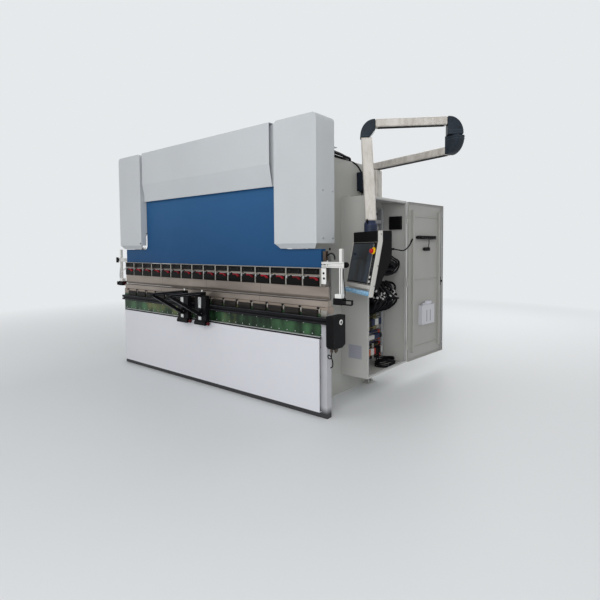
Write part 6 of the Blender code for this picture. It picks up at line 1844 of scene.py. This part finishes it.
for side, end_x, away in (("left", gauge_low.x, -1), ("right", gauge_high.x, 1)):
    low_x, high_x = sorted((end_x, end_x + away * 0.005))
    slab("gauge_beam_end_" + side, (low_x, gauge_low.y + 0.004, gauge_low.z + 0.004),
         (high_x, gauge_high.y - 0.004, gauge_high.z - 0.004), 0.001, "frame", black_plastic)
link = block("link", (-0.030, -0.016, 0), (0.030, 0.016, 0.034))
recessed(link, (0, 0, 1), 0.005, (0, 0, -0.003))
link = rounded(link, 0.003, 1)
chain = []
CHAIN_BEND = 0.066
bend_middle = spot(0.62, 0.775, 0.804)
chain_x = bend_middle.x
for index in range(9):
    chain.append(copied(link, (chain_x, spot(0, 0.78 + 0.0335 * index, 0).y, 0.722)))
for index in range(7):
    turn = radians(-90 + 26 * index)
    rolled = copied(link, (0, 0, 0))
    link_place = bend_middle + CHAIN_BEND * Vector((0, -cos(turn), sin(turn)))
    link_turn = Matrix.Rotation(-(turn + radians(90)), 4, "X")
    rolled.data.transform(Matrix.Translation(link_place) @ link_turn)
    chain.append(rolled)
discard(link)
fit(joined("gauge_cable_chain", chain), "frame", black_plastic)
slab("gauge_chain_tray", (chain_x - 0.038, spot(0, 0.76, 0).y, 0.7185),
     (chain_x + 0.038, tie_high.y, 0.7215), 0.001, "frame", zinc_plate)
for side, face_x, away in (("left", left_frame_low.x, -1), ("right", frame_high.x, 1)):
    steps = [(0, 0.060 * column, 0.105 * row) for row in range(3) for column in range(2) if row or column]
    screws("tie_bolts_" + side, (face_x, tie_low.y + 0.030, tie_low.z + 0.045), (away, 0, 0), 0.015, 0.012,
           steps, "frame", screw_steel)
    if side == "left":
        steps = [(0, back, rise) for rise in (0, 0.28) for back in (0, 0.12, 0.24, 0.35) if back or rise]
        screws("tank_bolts_left", (face_x, tank_low.y + 0.050, tank_low.z + 0.050), (away, 0, 0), 0.015,
               0.012, steps, "frame", screw_steel)


# Left frame's fittings. A zinc-plated cable tray runs up its outer face with clipped cables,
# and a black terminal box joins the left guard's and the scale's leads.
tray_low = Vector((left_frame_low.x - 0.032, spot(0, 1.10, 0).y, 0.30))
tray_high = Vector((left_frame_low.x, spot(0, 1.16, 0).y, 2.22))
tray = block("left_cable_tray", tray_low, tray_high)
recessed(tray, (-1, 0, 0), 0.002, (0.026, 0, 0))
fit(tray, "frame", zinc_plate)
runs = [cable("run", [(tray_low.x + 0.012, tray_low.y + 0.018 + 0.013 * index, 0.31),
                      (tray_low.x + 0.011, tray_low.y + 0.016 + 0.013 * index, 0.9),
                      (tray_low.x + 0.012, tray_low.y + 0.019 + 0.013 * index, 1.6),
                      (tray_low.x + 0.012, tray_low.y + 0.018 + 0.013 * index, 2.21)], 0.0055)
        for index in range(3)]
fit(joined("left_cables", runs), "frame", black_jacket)
clip = block("clip", (tray_low.x - 0.001, tray_low.y - 0.0005, 0.42),
             (tray_low.x + 0.004, tray_high.y + 0.0005, 0.432))
fit(spread("left_cable_clips", rounded(clip, 0.001, 1), [(0, 0, 0.30 * index) for index in range(1, 6)]),
    "frame", black_plastic)
slab("left_terminal_box", (left_frame_low.x - 0.070, spot(0, 0.86, 0).y, 1.62),
     (left_frame_low.x, spot(0, 1.02, 0).y, 1.82), 0.005, "frame", navy_plastic)
slab("left_terminal_lid", (left_frame_low.x - 0.075, spot(0, 0.866, 0).y, 1.626),
     (left_frame_low.x - 0.069, spot(0, 1.014, 0).y, 1.814), 0.002, "frame", navy_plastic)
screws("left_lid_screws", (left_frame_low.x - 0.075, spot(0, 0.878, 0).y, 1.638), (-1, 0, 0), 0.005, 0.003,
       corners((0, 0.124, 0), (0, 0, 0.164)), "frame", screw_steel)
LEFT_FACE = -1.345
leads = [cable("lead", spots((LEFT_FACE - 0.035, 1.00, 1.622), (LEFT_FACE - 0.034, 1.02, 1.575),
                             (LEFT_FACE - 0.022, 1.07, 1.56), (LEFT_FACE - 0.018, 1.115, 1.60)), 0.0055),
         cable("lead", spots((LEFT_FACE - 0.035, 0.90, 1.622), (LEFT_FACE - 0.030, 0.89, 1.58),
                             (LEFT_FACE - 0.010, 0.80, 1.55), (LEFT_FACE - 0.008, 0.62, 1.545),
                             (LEFT_FACE - 0.010, 0.40, 1.56), (LEFT_FACE - 0.006, 0.30, 1.60)), 0.005)]
fit(joined("left_terminal_leads", leads), "frame", black_jacket)
